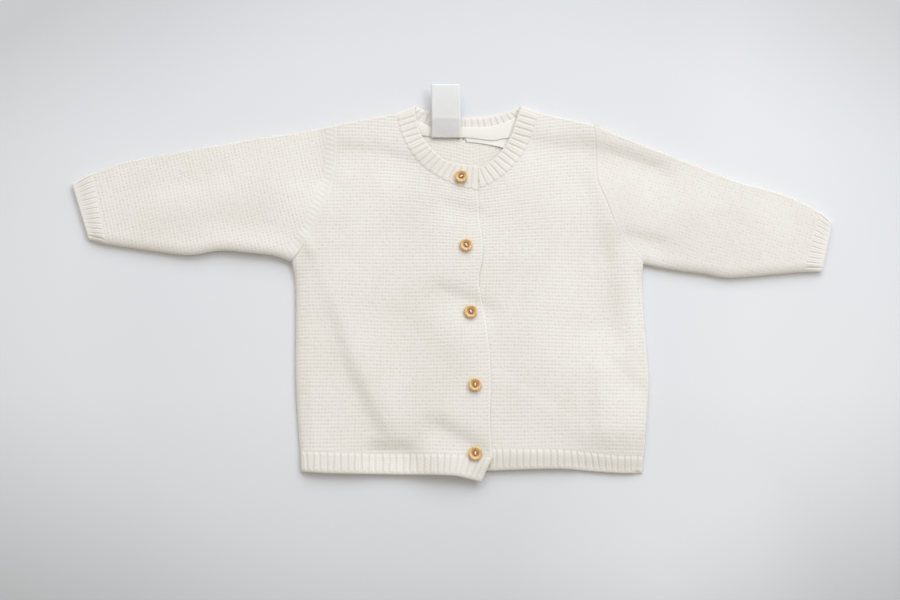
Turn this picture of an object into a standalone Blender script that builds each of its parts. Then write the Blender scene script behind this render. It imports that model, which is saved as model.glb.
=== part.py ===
"""Baby cardigan in cream cotton garter knit, laid flat on its back with the front up.

Frame: metres, +Z up. +X is the wearer's left, +Y runs from the hem to the neck, and the
origin lies on the surface that carries the garment, under the middle of the back.
The tables and sizes below are in millimetres.
"""

import math
from collections import namedtuple

import bmesh
import bpy
from mathutils import Vector

MM = 0.001
TINY = 1e-9

# Driving sizes
WALL = 2.0  # thickness of the knit
AIR = 2.0  # air between the back layer and the front layer
SEAM = 0.3  # gap where two pieces are linked together
RIB_PITCH = 5.3  # one knit and one purl column of the 1x1 rib
RIB_RISE = 0.6  # how far a rib stands above the face of the cloth
RIB_CROWN = (0.3, 0.7)  # where a rib's top starts and ends, as shares of its pitch
TAPE_WALL = 1.0  # neck tape and labels
BUTTON_D = 10.6
BUTTON_H = 2.4
BUTTON_HOLE_D = 1.5
BUTTON_HOLES_APART = 2.8
BUTTON_SIDES = 20
BUTTON_HOLE_SIDES = 8

# Levels of the middle of each layer
BACK_MID = WALL / 2
FRONT_MID = WALL + AIR + WALL / 2
FOLD_R = (FRONT_MID - BACK_MID) / 2  # radius of the rolled edge between the two layers
FOLD_Z = (FRONT_MID + BACK_MID) / 2
FOLD_REACH = FOLD_R + WALL / 2  # how far in from the outline an edge starts to roll
ROLL_ANGLES = (0, 35, 64, 85)  # degrees, from level to nearly upright
ROLL_STEPS = range(len(ROLL_ANGLES))
LAST_ROLL = ROLL_STEPS[-1]
LAP_LIFT = WALL + RIB_RISE + SEAM  # the upper front lies on the one below
LAP_RAMP = 45.0  # the upper front climbs over this width
LAP_MARGIN = 6.0  # and is all the way up this far before the edge that it covers

# Room left at two curved seams, where straight facets come closer than the curves do
BAND_CLEAR = 1.5 * SEAM
SLEEVE_CLEAR = 2.5 * SEAM

# Columns of a front, as shares of its width from the front edge: closer where it laps
FRONT_COLUMNS = (0, 0.055, 0.11, 0.165, 0.215, 0.265, 0.33, 0.43, 0.54, 0.65, 0.76, 0.88)
ROW_STEP = 14.0  # rows of a panel are about this far apart
NECK_STEP = 8.5  # and this far apart along the neckline
SLEEVE_COLUMNS = 11
SLEEVE_RINGS = 13
UNDERSIDE_COLUMNS = 5  # of a sleeve or cuff, where it rests
BACK_NECK_COLUMNS = 10
BACK_SHOULDER_COLUMNS = (0.4, 0.7, 1.0)  # as shares of the way to the neckline
BACK_HEM_COLUMNS = 12
STRIP_COLUMNS = 14
BAND_FOLD_ANGLES = (30, 60, 90, 120, 150)  # round the neckband's fold at a shoulder
BAND_FOLD_TURN = (60, 120)  # between these it passes from the front's line to the back's

# Fronts and back, from the hem seam up to the shoulder. outer is the side and then the
# armhole seam; inner is the front edge and then the neckline seam.
Row = namedtuple("Row", "outer_x outer_y inner_x inner_y corner")

FRONT_RIGHT = [
    Row(-133.3, -128.8, 17.0, -133.6, ""),
    Row(-135.8, -103.0, 15.2, -104.0, ""),
    Row(-138.0, -72.7, 16.2, -73.0, ""),
    Row(-138.8, -33.0, 13.5, -34.0, ""),
    Row(-139.4, -4.0, 8.3, -4.5, ""),
    Row(-140.4, 9.0, 6.8, 7.5, ""),
    Row(-143.2, 22.6, 9.8, 24.0, "outer"),
    Row(-136.8, 30.5, 10.5, 33.0, ""),
    Row(-129.8, 41.1, 9.6, 42.5, ""),
    Row(-122.1, 57.6, 7.6, 57.5, ""),
    Row(-115.9, 72.5, 6.9, 70.5, ""),
    Row(-113.4, 79.0, 6.6, 80.4, "inner"),
    Row(-111.6, 84.8, -7.0, 83.4, ""),
    Row(-110.5, 89.1, -20.0, 88.7, ""),
    Row(-109.6, 95.5, -31.0, 95.4, ""),
    Row(-108.5, 104.2, -41.5, 104.6, ""),
    Row(-108.2, 117.0, -51.2, 118.5, ""),
    Row(-108.2, 126.5, -56.4, 131.2, ""),
    Row(-108.3, 136.8, -59.3, 146.3, ""),
]
FRONT_LEFT = [
    Row(135.5, -132.4, -6.5, -127.0, ""),
    Row(139.0, -98.0, -6.5, -98.0, ""),
    Row(141.1, -70.5, -6.8, -70.5, ""),
    Row(138.6, -27.0, -9.0, -27.0, ""),
    Row(137.8, 0.0, -11.0, 0.0, ""),
    Row(137.9, 12.0, -12.3, 12.0, ""),
    Row(138.9, 20.8, -13.0, 22.0, "outer"),
    Row(132.7, 29.2, -13.4, 30.0, ""),
    Row(124.9, 37.5, -13.8, 38.0, ""),
    Row(117.3, 52.6, -14.6, 52.0, ""),
    Row(112.0, 67.5, -15.4, 66.0, ""),
    Row(107.4, 79.6, -16.0, 79.5, "inner"),
    Row(105.3, 84.2, 4.5, 82.0, ""),
    Row(103.8, 88.6, 17.1, 86.9, ""),
    Row(103.2, 94.5, 30.1, 96.2, ""),
    Row(102.9, 103.5, 39.9, 107.3, ""),
    Row(102.9, 114.0, 48.0, 121.6, ""),
    Row(102.6, 124.0, 52.4, 134.8, ""),
    Row(101.5, 136.6, 56.8, 147.0, ""),
]

# Hem ribs, from the side seam to the front edge. top is the seam with the panel.
HemRow = namedtuple("HemRow", "top_x top_y low_x low_y")

HEM_RIGHT = [
    HemRow(-133.3, -128.8, -132.2, -144.2),
    HemRow(-110.0, -129.6, -110.0, -145.5),
    HemRow(-66.0, -130.7, -66.0, -146.4),
    HemRow(-24.0, -131.0, -24.5, -147.0),
    HemRow(-6.0, -131.8, -9.8, -148.0),
    HemRow(17.0, -133.6, 8.3, -152.2),
]
HEM_LEFT = [
    HemRow(135.5, -132.4, 134.2, -145.4),
    HemRow(114.0, -132.0, 114.0, -145.2),
    HemRow(94.0, -129.8, 96.0, -144.0),
    HemRow(69.5, -127.4, 69.4, -142.0),
    HemRow(18.0, -127.0, 17.6, -143.4),
    HemRow(-6.5, -127.0, -6.5, -144.4),
]
HEM_BACK = [
    HemRow(-133.3, -128.8, -132.2, -143.8),
    HemRow(-60.0, -129.8, -60.0, -143.4),
    HemRow(20.0, -131.0, 20.0, -141.6),
    HemRow(70.0, -131.6, 70.0, -140.8),
    HemRow(100.0, -132.0, 100.0, -142.6),
    HemRow(135.5, -132.4, 134.2, -144.8),
]
HEM_DEPTH = 15.0  # of a hem rib as a whole

# Sleeves, from the cuff seam to the armhole. upper is the shoulder fold, lower the
# underarm fold.
Ring = namedtuple("Ring", "upper_x upper_y lower_x lower_y")

SLEEVE_RIGHT = [
    Ring(-306.4, 95.4, -292.2, 37.2),
    Ring(-282.0, 104.3, -268.0, 33.4),
    Ring(-255.0, 110.0, -246.0, 30.2),
    Ring(-226.0, 115.4, -224.0, 28.0),
    Ring(-196.0, 120.9, -200.0, 31.4),
    Ring(-166.0, 126.2, -177.0, 29.6),
    Ring(-134.0, 131.0, -157.0, 27.2),
    Ring(-108.3, 136.8, -143.2, 22.6),
]
SLEEVE_LEFT = [
    Ring(282.5, 63.2, 266.4, 14.2),
    Ring(264.0, 73.4, 247.8, 12.6),
    Ring(245.0, 80.8, 227.7, 10.8),
    Ring(219.0, 87.8, 205.0, 9.6),
    Ring(190.0, 99.4, 188.0, 12.6),
    Ring(160.0, 111.8, 170.0, 15.0),
    Ring(128.0, 125.0, 153.0, 17.8),
    Ring(101.5, 136.6, 138.9, 20.8),
]
CUFF_RIGHT = [Ring(-306.4, 95.4, -292.2, 37.2), Ring(-322.5, 86.9, -306.6, 41.2)]
CUFF_LEFT = [Ring(282.5, 63.2, 266.4, 14.2), Ring(292.4, 54.8, 282.0, 14.6)]

# Neckband, from its upper end on the right front, round the back of the neck, to its
# hidden end on the left front. seam is the edge linked to the panels, free the opening.
BandRow = namedtuple("BandRow", "seam_x seam_y free_x free_y")

BAND_RIGHT = [
    BandRow(6.6, 80.4, 6.8, 100.4),
    BandRow(-7.0, 83.4, -3.0, 101.0),
    BandRow(-20.0, 88.7, -12.8, 102.6),
    BandRow(-31.0, 95.4, -21.8, 106.4),
    BandRow(-41.5, 104.6, -30.0, 113.8),
    BandRow(-51.2, 118.5, -37.8, 123.8),
    BandRow(-56.4, 131.2, -42.4, 135.2),
    BandRow(-59.3, 146.3, -45.0, 152.6),
]
BAND_BACK = [
    BandRow(-59.3, 146.3, -45.0, 152.6),
    BandRow(-44.7, 138.9, -36.0, 149.8),
    BandRow(-28.3, 132.0, -24.2, 146.4),
    BandRow(-11.9, 128.6, -11.0, 144.2),
    BandRow(0.3, 128.0, 0.4, 143.8),
    BandRow(12.6, 128.6, 12.2, 144.6),
    BandRow(27.3, 132.0, 24.0, 146.8),
    BandRow(43.0, 138.9, 34.2, 149.8),
    BandRow(56.8, 147.0, 42.2, 152.6),
]
BAND_LEFT = [
    BandRow(56.8, 147.0, 42.2, 152.6),
    BandRow(52.4, 134.8, 37.6, 139.8),
    BandRow(48.0, 121.6, 33.2, 126.4),
    BandRow(39.9, 107.3, 27.2, 116.2),
    BandRow(30.1, 96.2, 18.6, 106.8),
    BandRow(17.1, 86.9, 9.4, 100.8),
    BandRow(4.5, 82.0, 0.6, 98.0),
    BandRow(-16.0, 79.5, -14.6, 96.2),
]

# Neck tape over the back neck seam, and the two labels sewn in with it
TAPE = [
    BandRow(-42.0, 131.0, -40.0, 139.5),
    BandRow(-22.0, 126.3, -20.5, 135.4),
    BandRow(0.0, 124.8, 0.0, 134.6),
    BandRow(19.0, 123.4, 18.5, 135.2),
    BandRow(40.0, 131.5, 38.0, 140.0),
]
TAPE_MID = WALL + RIB_RISE + SEAM / 2 + TAPE_WALL / 2

LabelRow = namedtuple("LabelRow", "y height")
NECK_LABEL_LEFT = -31.4
NECK_LABEL_RIGHT = -7.6
NECK_LABEL = [
    LabelRow(124.7, 4.7),
    LabelRow(130.0, 5.4),
    LabelRow(136.0, 6.9),
    LabelRow(141.2, 8.2),
    LabelRow(148.0, 8.0),
    LabelRow(158.0, 7.3),
    LabelRow(166.0, 7.2),
    LabelRow(170.4, 7.6),
]
SIZE_LABEL = [
    BandRow(-3.4, 121.5, -4.6, 123.9),
    BandRow(8.0, 120.4, 8.0, 122.6),
    BandRow(19.0, 118.9, 19.0, 122.3),
    BandRow(26.8, 117.4, 28.0, 124.8),
]
SIZE_LABEL_MID = WALL + SEAM + TAPE_WALL / 2

# Folds of the upper layer: a crest or, below zero, a trough along a path, with its
# widths to the left and right of the way from the first point to the last.
Fold = namedtuple("Fold", "name height left right path")

FOLDS = [
    Fold("right chest", 1.6, 60, 60, [(-78, 50), (-60, -40)]),
    Fold("left chest", 1.6, 55, 55, [(68, 60), (64, -60)]),
    Fold("drag to the hem", 2.2, 26, 10, [(-98, 0), (-76, -72), (-40, -118)]),
    Fold("beside the drag", -1.6, 9, 12, [(-112, -12), (-92, -78), (-56, -124)]),
    Fold("lap above button 3", -1.6, 7, 7, [(-26, 6), (7, -1)]),
    Fold("lap below button 1", -1.2, 7, 8, [(-14, 72), (5, 60)]),
    Fold("lap above button 5", -1.3, 7, 7, [(-28, -107), (2, -120)]),
    Fold("right collarbone", -1.4, 8, 7, [(-78, 124), (-54, 108)]),
    Fold("left front crease", -1.2, 6, 8, [(26, -66), (66, -93)]),
    Fold("left waist", -1.6, 9, 7, [(99, -56), (98, -112), (128, -126)]),
    Fold("left armhole groove", -1.5, 9, 7, [(104, 72), (119, 36), (116, -8)]),
    Fold("right sleeve head", 1.4, 24, 24, [(-160, 78), (-250, 68)]),
    Fold("right sleeve hollow", -1.7, 7, 7, [(-117, 122), (-121, 92)]),
    Fold("left sleeve head", 1.4, 24, 24, [(160, 62), (236, 46)]),
    Fold("left sleeve groove", -1.5, 6, 7, [(100, 116), (148, 101)]),
    Fold("left underarm", -1.5, 6, 6, [(131, 49), (146, 39)]),
]

Button = namedtuple("Button", "x y turn under")
BUTTONS = [
    Button(-6.9, 91.1, 30, "rib"),
    Button(-3.0, 34.7, 115, "panel"),
    Button(0.5, -18.9, 120, "panel"),
    Button(3.7, -77.0, 85, "panel"),
    Button(3.7, -130.4, 90, "rib"),
]

# Half of a button's section from its foot to the sunk middle, as shares of its radius
# and of its height
Turning = namedtuple("Turning", "radius height")
BUTTON_SECTION = [
    Turning(0.80, 0.0),
    Turning(0.97, 0.25),
    Turning(1.0, 0.60),
    Turning(0.88, 1.0),
    Turning(0.72, 0.92),
    Turning(0.52, 0.62),
]

Finish = namedtuple("Finish", "colour roughness")
IVORY_KNIT = Finish((0.83, 0.79, 0.70), 0.95)
IVORY_TAPE = Finish((0.86, 0.83, 0.75), 0.90)
WHITE_SATIN = Finish((0.84, 0.85, 0.85), 0.45)
LIGHT_WOOD = Finish((0.78, 0.54, 0.26), 0.55)


def clamped(value):
    return min(max(value, 0.0), 1.0)


def smooth(value):
    value = clamped(value)
    return value * value * (3 - 2 * value)


def spline(knots, points, corners=()):
    """A function of the knots' parameter that runs smoothly through the points, and
    turns sharply at those whose index is in corners."""
    last = len(points) - 1

    def rate(low, high):
        return (points[high] - points[low]) / (knots[high] - knots[low])

    def at(t):
        i = 0
        while i < last - 1 and knots[i + 1] <= t:
            i += 1
        span = knots[i + 1] - knots[i]
        s = (t - knots[i]) / span
        start = rate(i, i + 1) if i == 0 or i in corners else rate(i - 1, i + 1)
        stop = rate(i, i + 2) if i + 1 < last and i + 1 not in corners else rate(i, i + 1)
        hermite = points[i] * (1 + 2 * s) * (1 - s) ** 2
        hermite += start * span * s * (1 - s) ** 2
        hermite += points[i + 1] * s * s * (3 - 2 * s)
        hermite += stop * span * s * s * (s - 1)
        return hermite

    return at


def by_length(points):
    """Knots from 0 to 1 in step with the length of the run through the points."""
    lengths = [0.0]
    for low, high in zip(points, points[1:]):
        lengths.append(lengths[-1] + (high - low).length)
    return [length / lengths[-1] for length in lengths]


def fold_height(x, y):
    """What the folds add to the height of the upper layer at a place."""
    here = Vector((x, y))
    total = 0.0
    for fold in FOLDS:
        nearest = math.inf
        for start, end in zip(fold.path, fold.path[1:]):
            start = Vector(start)
            run = Vector(end) - start
            off = here - start - run * clamped((here - start).dot(run) / run.length_squared)
            side = (run.x * off.y - run.y * off.x) / max(run.length * off.length, TINY)
            width = (fold.left * (1 + side) + fold.right * (1 - side)) / 2
            nearest = min(nearest, off.length / width)
        total += fold.height * math.exp(-nearest * nearest)
    return total


def hidden_edge_x(y):
    """Where the front edge of the lower front lies at a height up the garment."""
    rows = [row for row in FRONT_LEFT if row.inner_x < 0]
    return spline([row.inner_y for row in rows], [row.inner_x for row in rows])(
        min(max(y, rows[0].inner_y), rows[-1].inner_y)
    )


def lap(x, y):
    """How far the upper front is lifted by the front below it."""
    ramp_start = hidden_edge_x(y) - LAP_RAMP - LAP_MARGIN
    return LAP_LIFT * smooth((x - ramp_start) / LAP_RAMP)


def upper(x, y, on_top, share=1.0):
    """The middle of the upper layer; share falls to 0 as an edge rolls down."""
    rise = FOLD_R + fold_height(x, y) + (lap(x, y) if on_top else 0.0)
    return FOLD_Z + share * rise


def lower(share=1.0):
    """The middle of the back layer; share falls to 0 as an edge rolls up."""
    return FOLD_Z - share * FOLD_R


def roll(step):
    """Inset from the outline, share of the rise, and lean of the wall at a roll step."""
    angle = math.radians(ROLL_ANGLES[step])
    return WALL / 2 + FOLD_R * (1 - math.sin(angle)), math.cos(angle), math.sin(angle)


def patch(inner, outer, low, top):
    """A flat patch between four curves: inner and outer run up, low and top across."""

    def at(u, v):
        point = inner(v).lerp(outer(v), u)
        point = point + (low(u) - low(0).lerp(low(1), u)) * (1 - v)
        return point + (top(u) - top(0).lerp(top(1), u)) * v

    return at


def material(name, finish):
    made = bpy.data.materials.new(name)
    made.use_nodes = True
    shader = made.node_tree.nodes["Principled BSDF"]
    shader.inputs["Base Color"].default_value = (*finish.colour, 1.0)
    shader.inputs["Roughness"].default_value = finish.roughness
    shader.inputs["Metallic"].default_value = 0.0
    return made


def finish_object(name, bm, finish, flat_angle=40):
    """Turns a closed bmesh in millimetres into an object in metres."""
    bmesh.ops.recalc_face_normals(bm, faces=bm.faces)
    bmesh.ops.scale(bm, vec=(MM, MM, MM), verts=bm.verts)
    mesh = bpy.data.meshes.new(name)
    bm.to_mesh(mesh)
    bm.free()
    mesh.shade_smooth()
    mesh.set_sharp_from_angle(angle=math.radians(flat_angle))
    mesh.materials.append(material(name, finish))
    made = bpy.data.objects.new(name, mesh)
    bpy.context.scene.collection.objects.link(made)
    return made


def wall(name, grid, finish, thickness=WALL, ring=False):
    """A cloth wall of even thickness about a grid of (point, outward normal, rise).
    rise lifts the outer face only. With ring, each row closes on itself."""
    bm = bmesh.new()
    faces = []
    for side in (1, -1):
        layer = []
        for row in grid:
            verts = []
            for point, normal, rise in row:
                reach = thickness / 2 + (rise if side > 0 else 0.0)
                verts.append(bm.verts.new(point + normal * reach * side))
            layer.append(verts)
        faces.append(layer)
    outer, inner = faces
    rows, columns = len(grid), len(grid[0])
    steps = range(columns) if ring else range(columns - 1)
    for layer in faces:
        for i in range(rows - 1):
            for j in steps:
                k = (j + 1) % columns
                bm.faces.new((layer[i][j], layer[i][k], layer[i + 1][k], layer[i + 1][j]))
    for i in (0, rows - 1):
        for j in steps:
            k = (j + 1) % columns
            bm.faces.new((outer[i][j], outer[i][k], inner[i][k], inner[i][j]))
    if not ring:
        for j in (0, columns - 1):
            for i in range(rows - 1):
                bm.faces.new((outer[i][j], outer[i + 1][j], inner[i + 1][j], inner[i][j]))
    return finish_object(name, bm, finish)


def up(sign=1):
    return Vector((0, 0, sign))


def level_point(plan, height):
    return Vector((plan.x, plan.y, height))


def paired_curves(rows):
    """The inner and outer curves of a front, with knots shared by both."""
    inner = [Vector((row.inner_x, row.inner_y)) for row in rows]
    outer = [Vector((row.outer_x, row.outer_y)) for row in rows]
    middle = [(a.y + b.y) / 2 for a, b in zip(inner, outer)]
    knots = [(y - middle[0]) / (middle[-1] - middle[0]) for y in middle]
    inner_corners = [i for i, row in enumerate(rows) if row.corner == "inner"]
    outer_corners = [i for i, row in enumerate(rows) if row.corner == "outer"]
    return (
        knots,
        spline(knots, inner, inner_corners),
        spline(knots, outer, outer_corners),
        knots[outer_corners[0]],
    )


def panel_steps(rows, knots, length):
    """Steps up a panel: the table's own rows and even parts between them, one just past
    the underarm, and the last where the shoulder starts to roll."""
    corners = [row.corner for row in rows]
    underarm = corners.index("outer")
    neckline = corners.index("inner")
    steps = [SEAM / 2 / length]
    for i, (row, after) in enumerate(zip(rows, rows[1:])):
        outer_run = math.hypot(after.outer_x - row.outer_x, after.outer_y - row.outer_y)
        inner_run = math.hypot(after.inner_x - row.inner_x, after.inner_y - row.inner_y)
        parts = max(round(outer_run / ROW_STEP), 1)
        if i >= neckline:
            parts = max(math.ceil(inner_run / NECK_STEP), parts)
        steps += [knots[i] + (knots[i + 1] - knots[i]) * (n + 1) / parts for n in range(parts)]
    reach = FOLD_REACH / length
    steps.append(knots[underarm] + reach)
    return sorted(step for step in steps if step < 1 - 1.5 * reach) + [1 - reach]


def front(name, rows, hem, on_top):
    """A front panel. Its side and shoulder roll down to meet the back panel, and its
    armhole stays level to meet the sleeve."""
    knots, inner, outer, underarm = paired_curves(rows)
    hem_points = [Vector((row.top_x, row.top_y)) for row in reversed(hem)]
    hem_curve = spline(by_length(hem_points), hem_points)

    def shoulder(u):
        return inner(1).lerp(outer(1), u)

    at = patch(inner, outer, hem_curve, shoulder)
    length = (outer(1) - outer(0)).length
    shoulder_run = shoulder(1) - shoulder(0)
    uphill = Vector((-shoulder_run.y, shoulder_run.x, 0)).normalized()
    uphill = uphill if uphill.y > 0 else -uphill
    steps = [(v, 1.0, 0.0) for v in panel_steps(rows, knots, length)]
    for step in ROLL_STEPS[1:]:
        inset, share, lean = roll(step)
        steps.append((1 - inset / length, share, lean))
    grid = []
    for v, top_share, top_lean in steps:
        width = (outer(v) - inner(v)).length
        outward = (outer(v) - inner(v)).to_3d().normalized()
        level = smooth((v - underarm) * length / FOLD_REACH)
        cells = [(share * (1 - FOLD_REACH / width), 1.0, 0.0) for share in FRONT_COLUMNS]
        for step in ROLL_STEPS:
            cells.append(side_cell(step, 1, level, width))
        line = []
        for u, share, lean in cells:
            plan = at(u, v)
            height = upper(plan.x, plan.y, on_top, share * top_share)
            rest = math.sqrt(max(1 - lean * lean - top_lean * top_lean, 0))
            normal = outward * lean + uphill * top_lean + up() * rest
            line.append((level_point(plan, height), normal.normalized(), 0.0))
        grid.append(line)
    return wall(name, grid, IVORY_KNIT)


def back():
    """The back panel: its underside is level, and its sides and shoulders roll up."""
    knots, _, right, underarm = paired_curves(FRONT_RIGHT)
    _, _, left_outer, left_underarm = paired_curves(FRONT_LEFT)
    level_with = spline([0.0, underarm, 1.0], [0.0, left_underarm, 1.0], (1,))

    def left(v):
        return left_outer(level_with(v))

    neck = [Vector((row.seam_x, row.seam_y)) for row in BAND_BACK]
    top_points = [right(1)] + neck + [left(1)]
    top_knots = by_length(top_points)
    top = spline(top_knots, top_points, (1, len(neck)))
    neck_start, neck_end = top_knots[1], top_knots[-2]
    top_length = (left(1) - right(1)).length
    length = (right(1) - right(0)).length

    def hem_curve(u):
        return right(0).lerp(left(0), u)

    at = patch(right, left, hem_curve, top)
    near = FOLD_REACH / top_length
    neck_width = neck_end - neck_start
    columns = [neck_start * share for share in BACK_SHOULDER_COLUMNS]
    columns += [neck_start + near, neck_end - near]
    for i in range(1, BACK_NECK_COLUMNS):
        columns.append(neck_start + neck_width * i / BACK_NECK_COLUMNS)
    columns += [1 - (1 - neck_end) * share for share in BACK_SHOULDER_COLUMNS]

    def on_neck(u):
        """1 on the neckline, and 0 on a shoulder and at the ends of the neckline."""
        return smooth(min(u - neck_start, neck_end - u) / near)

    rows = [(v, 0) for v in panel_steps(FRONT_RIGHT, knots, length)[:-1]]
    plain = [pair for pair in rows[1:] if pair[0] < underarm - near]
    rows = [pair for pair in rows if pair not in plain[1::2]]
    rows += [(1.0, step) for step in ROLL_STEPS]
    grid = []
    for v, top_step in rows:
        width = (left(v) - right(v)).length
        level = smooth((v - underarm) * length / FOLD_REACH)
        cells = [side_cell(step, -1, level, width) for step in ROLL_STEPS[::-1]]
        cells += [(u, 1.0, 0.0) for u in sorted(columns)]
        cells += [side_cell(step, 1, level, width) for step in ROLL_STEPS]
        line = []
        for u, share, lean in cells:
            top_lean = 0.0
            place = v
            if v == 1.0:
                inset, top_share, top_lean = roll(top_step)
                flat = on_neck(u)
                inset += (flat_inset(top_step) - inset) * flat
                share *= top_share + (1 - top_share) * flat
                top_lean *= 1 - flat
                place = 1 - inset / length
            plan = at(u, place)
            rest = math.sqrt(max(1 - lean * lean - top_lean * top_lean, 0))
            normal = Vector((lean, top_lean, -rest)).normalized()
            line.append((level_point(plan, lower(share)), normal, 0.0))
        grid.append(line)
    return wall("back", grid, IVORY_KNIT)


def flat_inset(step):
    """Inset from the outline at a roll step where the edge stays level up to a seam."""
    return FOLD_REACH + (SEAM - FOLD_REACH) * step / LAST_ROLL


def side_cell(step, side, level, width):
    """Place across, share of the rise and lean at a roll step of a panel's side. The
    side rolls where level is 0 and stays level, up to the armhole seam, where it is 1."""
    inset, share, lean = roll(step)
    inset += (flat_inset(step) - inset) * level
    share += (1 - share) * level
    u = inset / width if side < 0 else 1 - inset / width
    return u, share, lean * (1 - level) * side


def rib_steps(length):
    """Places along a rib's run from 0 to 1, each with the rise of the cloth there."""
    ribs = max(round(length / RIB_PITCH), 1)
    places = []
    for rib in range(ribs):
        places += [(rib / ribs, 0.0)]
        places += [((rib + crown) / ribs, RIB_RISE) for crown in RIB_CROWN]
    return places + [(1.0, 0.0)]


def hem_curves(rows):
    """The top and low edges of a hem rib, and its length."""
    tops = [Vector((row.top_x, row.top_y)) for row in rows]
    lows = [Vector((row.low_x, row.low_y)) for row in rows]
    knots = by_length(tops)
    return spline(knots, tops), spline(knots, lows), (tops[-1] - tops[0]).length


def hem(name, rows, on_top):
    """A front's hem rib: a ribbed strip whose side end rolls down to meet the back."""
    top, low, length = hem_curves(rows)
    outward = (top(0) - top(1)).to_3d().normalized()
    start = FOLD_REACH / length
    cells = []
    for step in ROLL_STEPS[:0:-1]:
        inset, share, lean = roll(step)
        cells.append((inset / length, share, lean, 0.0))
    for place, rise in rib_steps(length - FOLD_REACH):
        cells.append((start + (1 - start) * place, 1.0, 0.0, rise))
    grid = []
    for depth in (SEAM / 2 / HEM_DEPTH, 1.0):
        line = []
        for t, share, lean, rise in cells:
            plan = top(t).lerp(low(t), depth)
            height = upper(plan.x, plan.y, on_top, share)
            normal = outward * lean + up() * math.sqrt(1 - lean * lean)
            line.append((level_point(plan, height), normal, rise))
        grid.append(line)
    return wall(name, grid, IVORY_KNIT)


def back_hem():
    """The back's hem rib lies on the surface, so its underside is plain."""
    top, low, length = hem_curves(HEM_BACK)
    start = FOLD_REACH / length
    cells = [(roll(step)[0] / length, step, -1) for step in ROLL_STEPS[:0:-1]]
    for i in range(BACK_HEM_COLUMNS + 1):
        cells.append((start + (1 - 2 * start) * i / BACK_HEM_COLUMNS, 0, 1))
    cells += [(1 - roll(step)[0] / length, step, 1) for step in ROLL_STEPS[1:]]
    grid = []
    for depth in (SEAM / 2 / HEM_DEPTH, 1.0):
        line = []
        for t, step, side in cells:
            _, share, lean = roll(step)
            plan = top(t).lerp(low(t), depth)
            normal = Vector((lean * side, 0, -share))
            line.append((level_point(plan, lower(share)), normal, 0.0))
        grid.append(line)
    return wall("back_hem_rib", grid, IVORY_KNIT)


def tube_ring(low_edge, high_edge, at, places):
    """One ring of a flattened tube: over the top from the lower edge to the upper one,
    and back underneath. at(u) gives the plan place a share u of the way across."""
    width = (high_edge - low_edge).length
    outward = (high_edge - low_edge).to_3d().normalized()
    start = FOLD_REACH / width
    edge = WALL / 2 / width
    turns = ROLL_STEPS[1:LAST_ROLL]
    top_cells = [(edge, 0.0, -1.0, 0.0)]
    for step in turns[::-1]:
        inset, share, lean = roll(step)
        top_cells.append((inset / width, share, -lean, 0.0))
    for place, rise in places:
        top_cells.append((start + (1 - 2 * start) * place, 1.0, 0.0, rise))
    for step in turns:
        inset, share, lean = roll(step)
        top_cells.append((1 - inset / width, share, lean, 0.0))
    top_cells.append((1 - edge, 0.0, 1.0, 0.0))
    line = []
    for u, share, lean, rise in top_cells:
        plan = at(u)
        height = upper(plan.x, plan.y, False, share)
        normal = outward * lean + up() * math.sqrt(1 - lean * lean)
        line.append((level_point(plan, height), normal, rise))
    under = [(1 - roll(step)[0] / width, step, 1) for step in turns[::-1]]
    for i in range(UNDERSIDE_COLUMNS + 1):
        under.append((1 - start - (1 - 2 * start) * i / UNDERSIDE_COLUMNS, 0, 1))
    under += [(roll(step)[0] / width, step, -1) for step in turns]
    for u, step, side in under:
        _, share, lean = roll(step)
        normal = outward * lean * side - up() * share
        line.append((level_point(at(u), lower(share)), normal, 0.0))
    return line


def armhole(rows):
    """The armhole seam from the underarm to the shoulder."""
    start = next(i for i, row in enumerate(rows) if row.corner == "outer")
    points = [Vector((row.outer_x, row.outer_y)) for row in rows[start:]]
    return spline(by_length(points), points)


def sleeve(name, rings, front_rows):
    """A sleeve: a tube laid flat, from its cuff seam to the armhole seam."""
    uppers = [Vector((ring.upper_x, ring.upper_y)) for ring in rings]
    lowers = [Vector((ring.lower_x, ring.lower_y)) for ring in rings]
    knots = by_length(uppers)
    high, low = spline(knots, uppers), spline(knots, lowers)
    seam = armhole(front_rows)

    def cuff_seam(u):
        return lowers[0].lerp(uppers[0], u)

    at = patch(low, high, cuff_seam, seam)
    length = (uppers[-1] - uppers[0]).length
    first, last = SEAM / 2 / length, 1 - SLEEVE_CLEAR / length
    places = [(i / SLEEVE_COLUMNS, 0.0) for i in range(SLEEVE_COLUMNS + 1)]
    grid = []
    for i in range(SLEEVE_RINGS):
        t = i / (SLEEVE_RINGS - 1)
        v = first + (last - first) * t
        grid.append(tube_ring(low(v), high(v), lambda u, v=v: at(u, v), places))
    return wall(name, grid, IVORY_KNIT, ring=True)


def cuff(name, rings):
    """A cuff: a ribbed tube, plain underneath where it rests."""
    seam_high = Vector((rings[0].upper_x, rings[0].upper_y))
    seam_low = Vector((rings[0].lower_x, rings[0].lower_y))
    mouth_high = Vector((rings[1].upper_x, rings[1].upper_y))
    mouth_low = Vector((rings[1].lower_x, rings[1].lower_y))
    depth = (mouth_high - seam_high).length
    places = rib_steps((seam_high - seam_low).length - 2 * FOLD_REACH)
    grid = []
    for share in (SEAM / 2 / depth, 0.5, 1.0):
        high = seam_high.lerp(mouth_high, share)
        low = seam_low.lerp(mouth_low, share)
        grid.append(tube_ring(low, high, lambda u, a=low, b=high: a.lerp(b, u), places))
    return wall(name, grid, IVORY_KNIT, ring=True)


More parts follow.
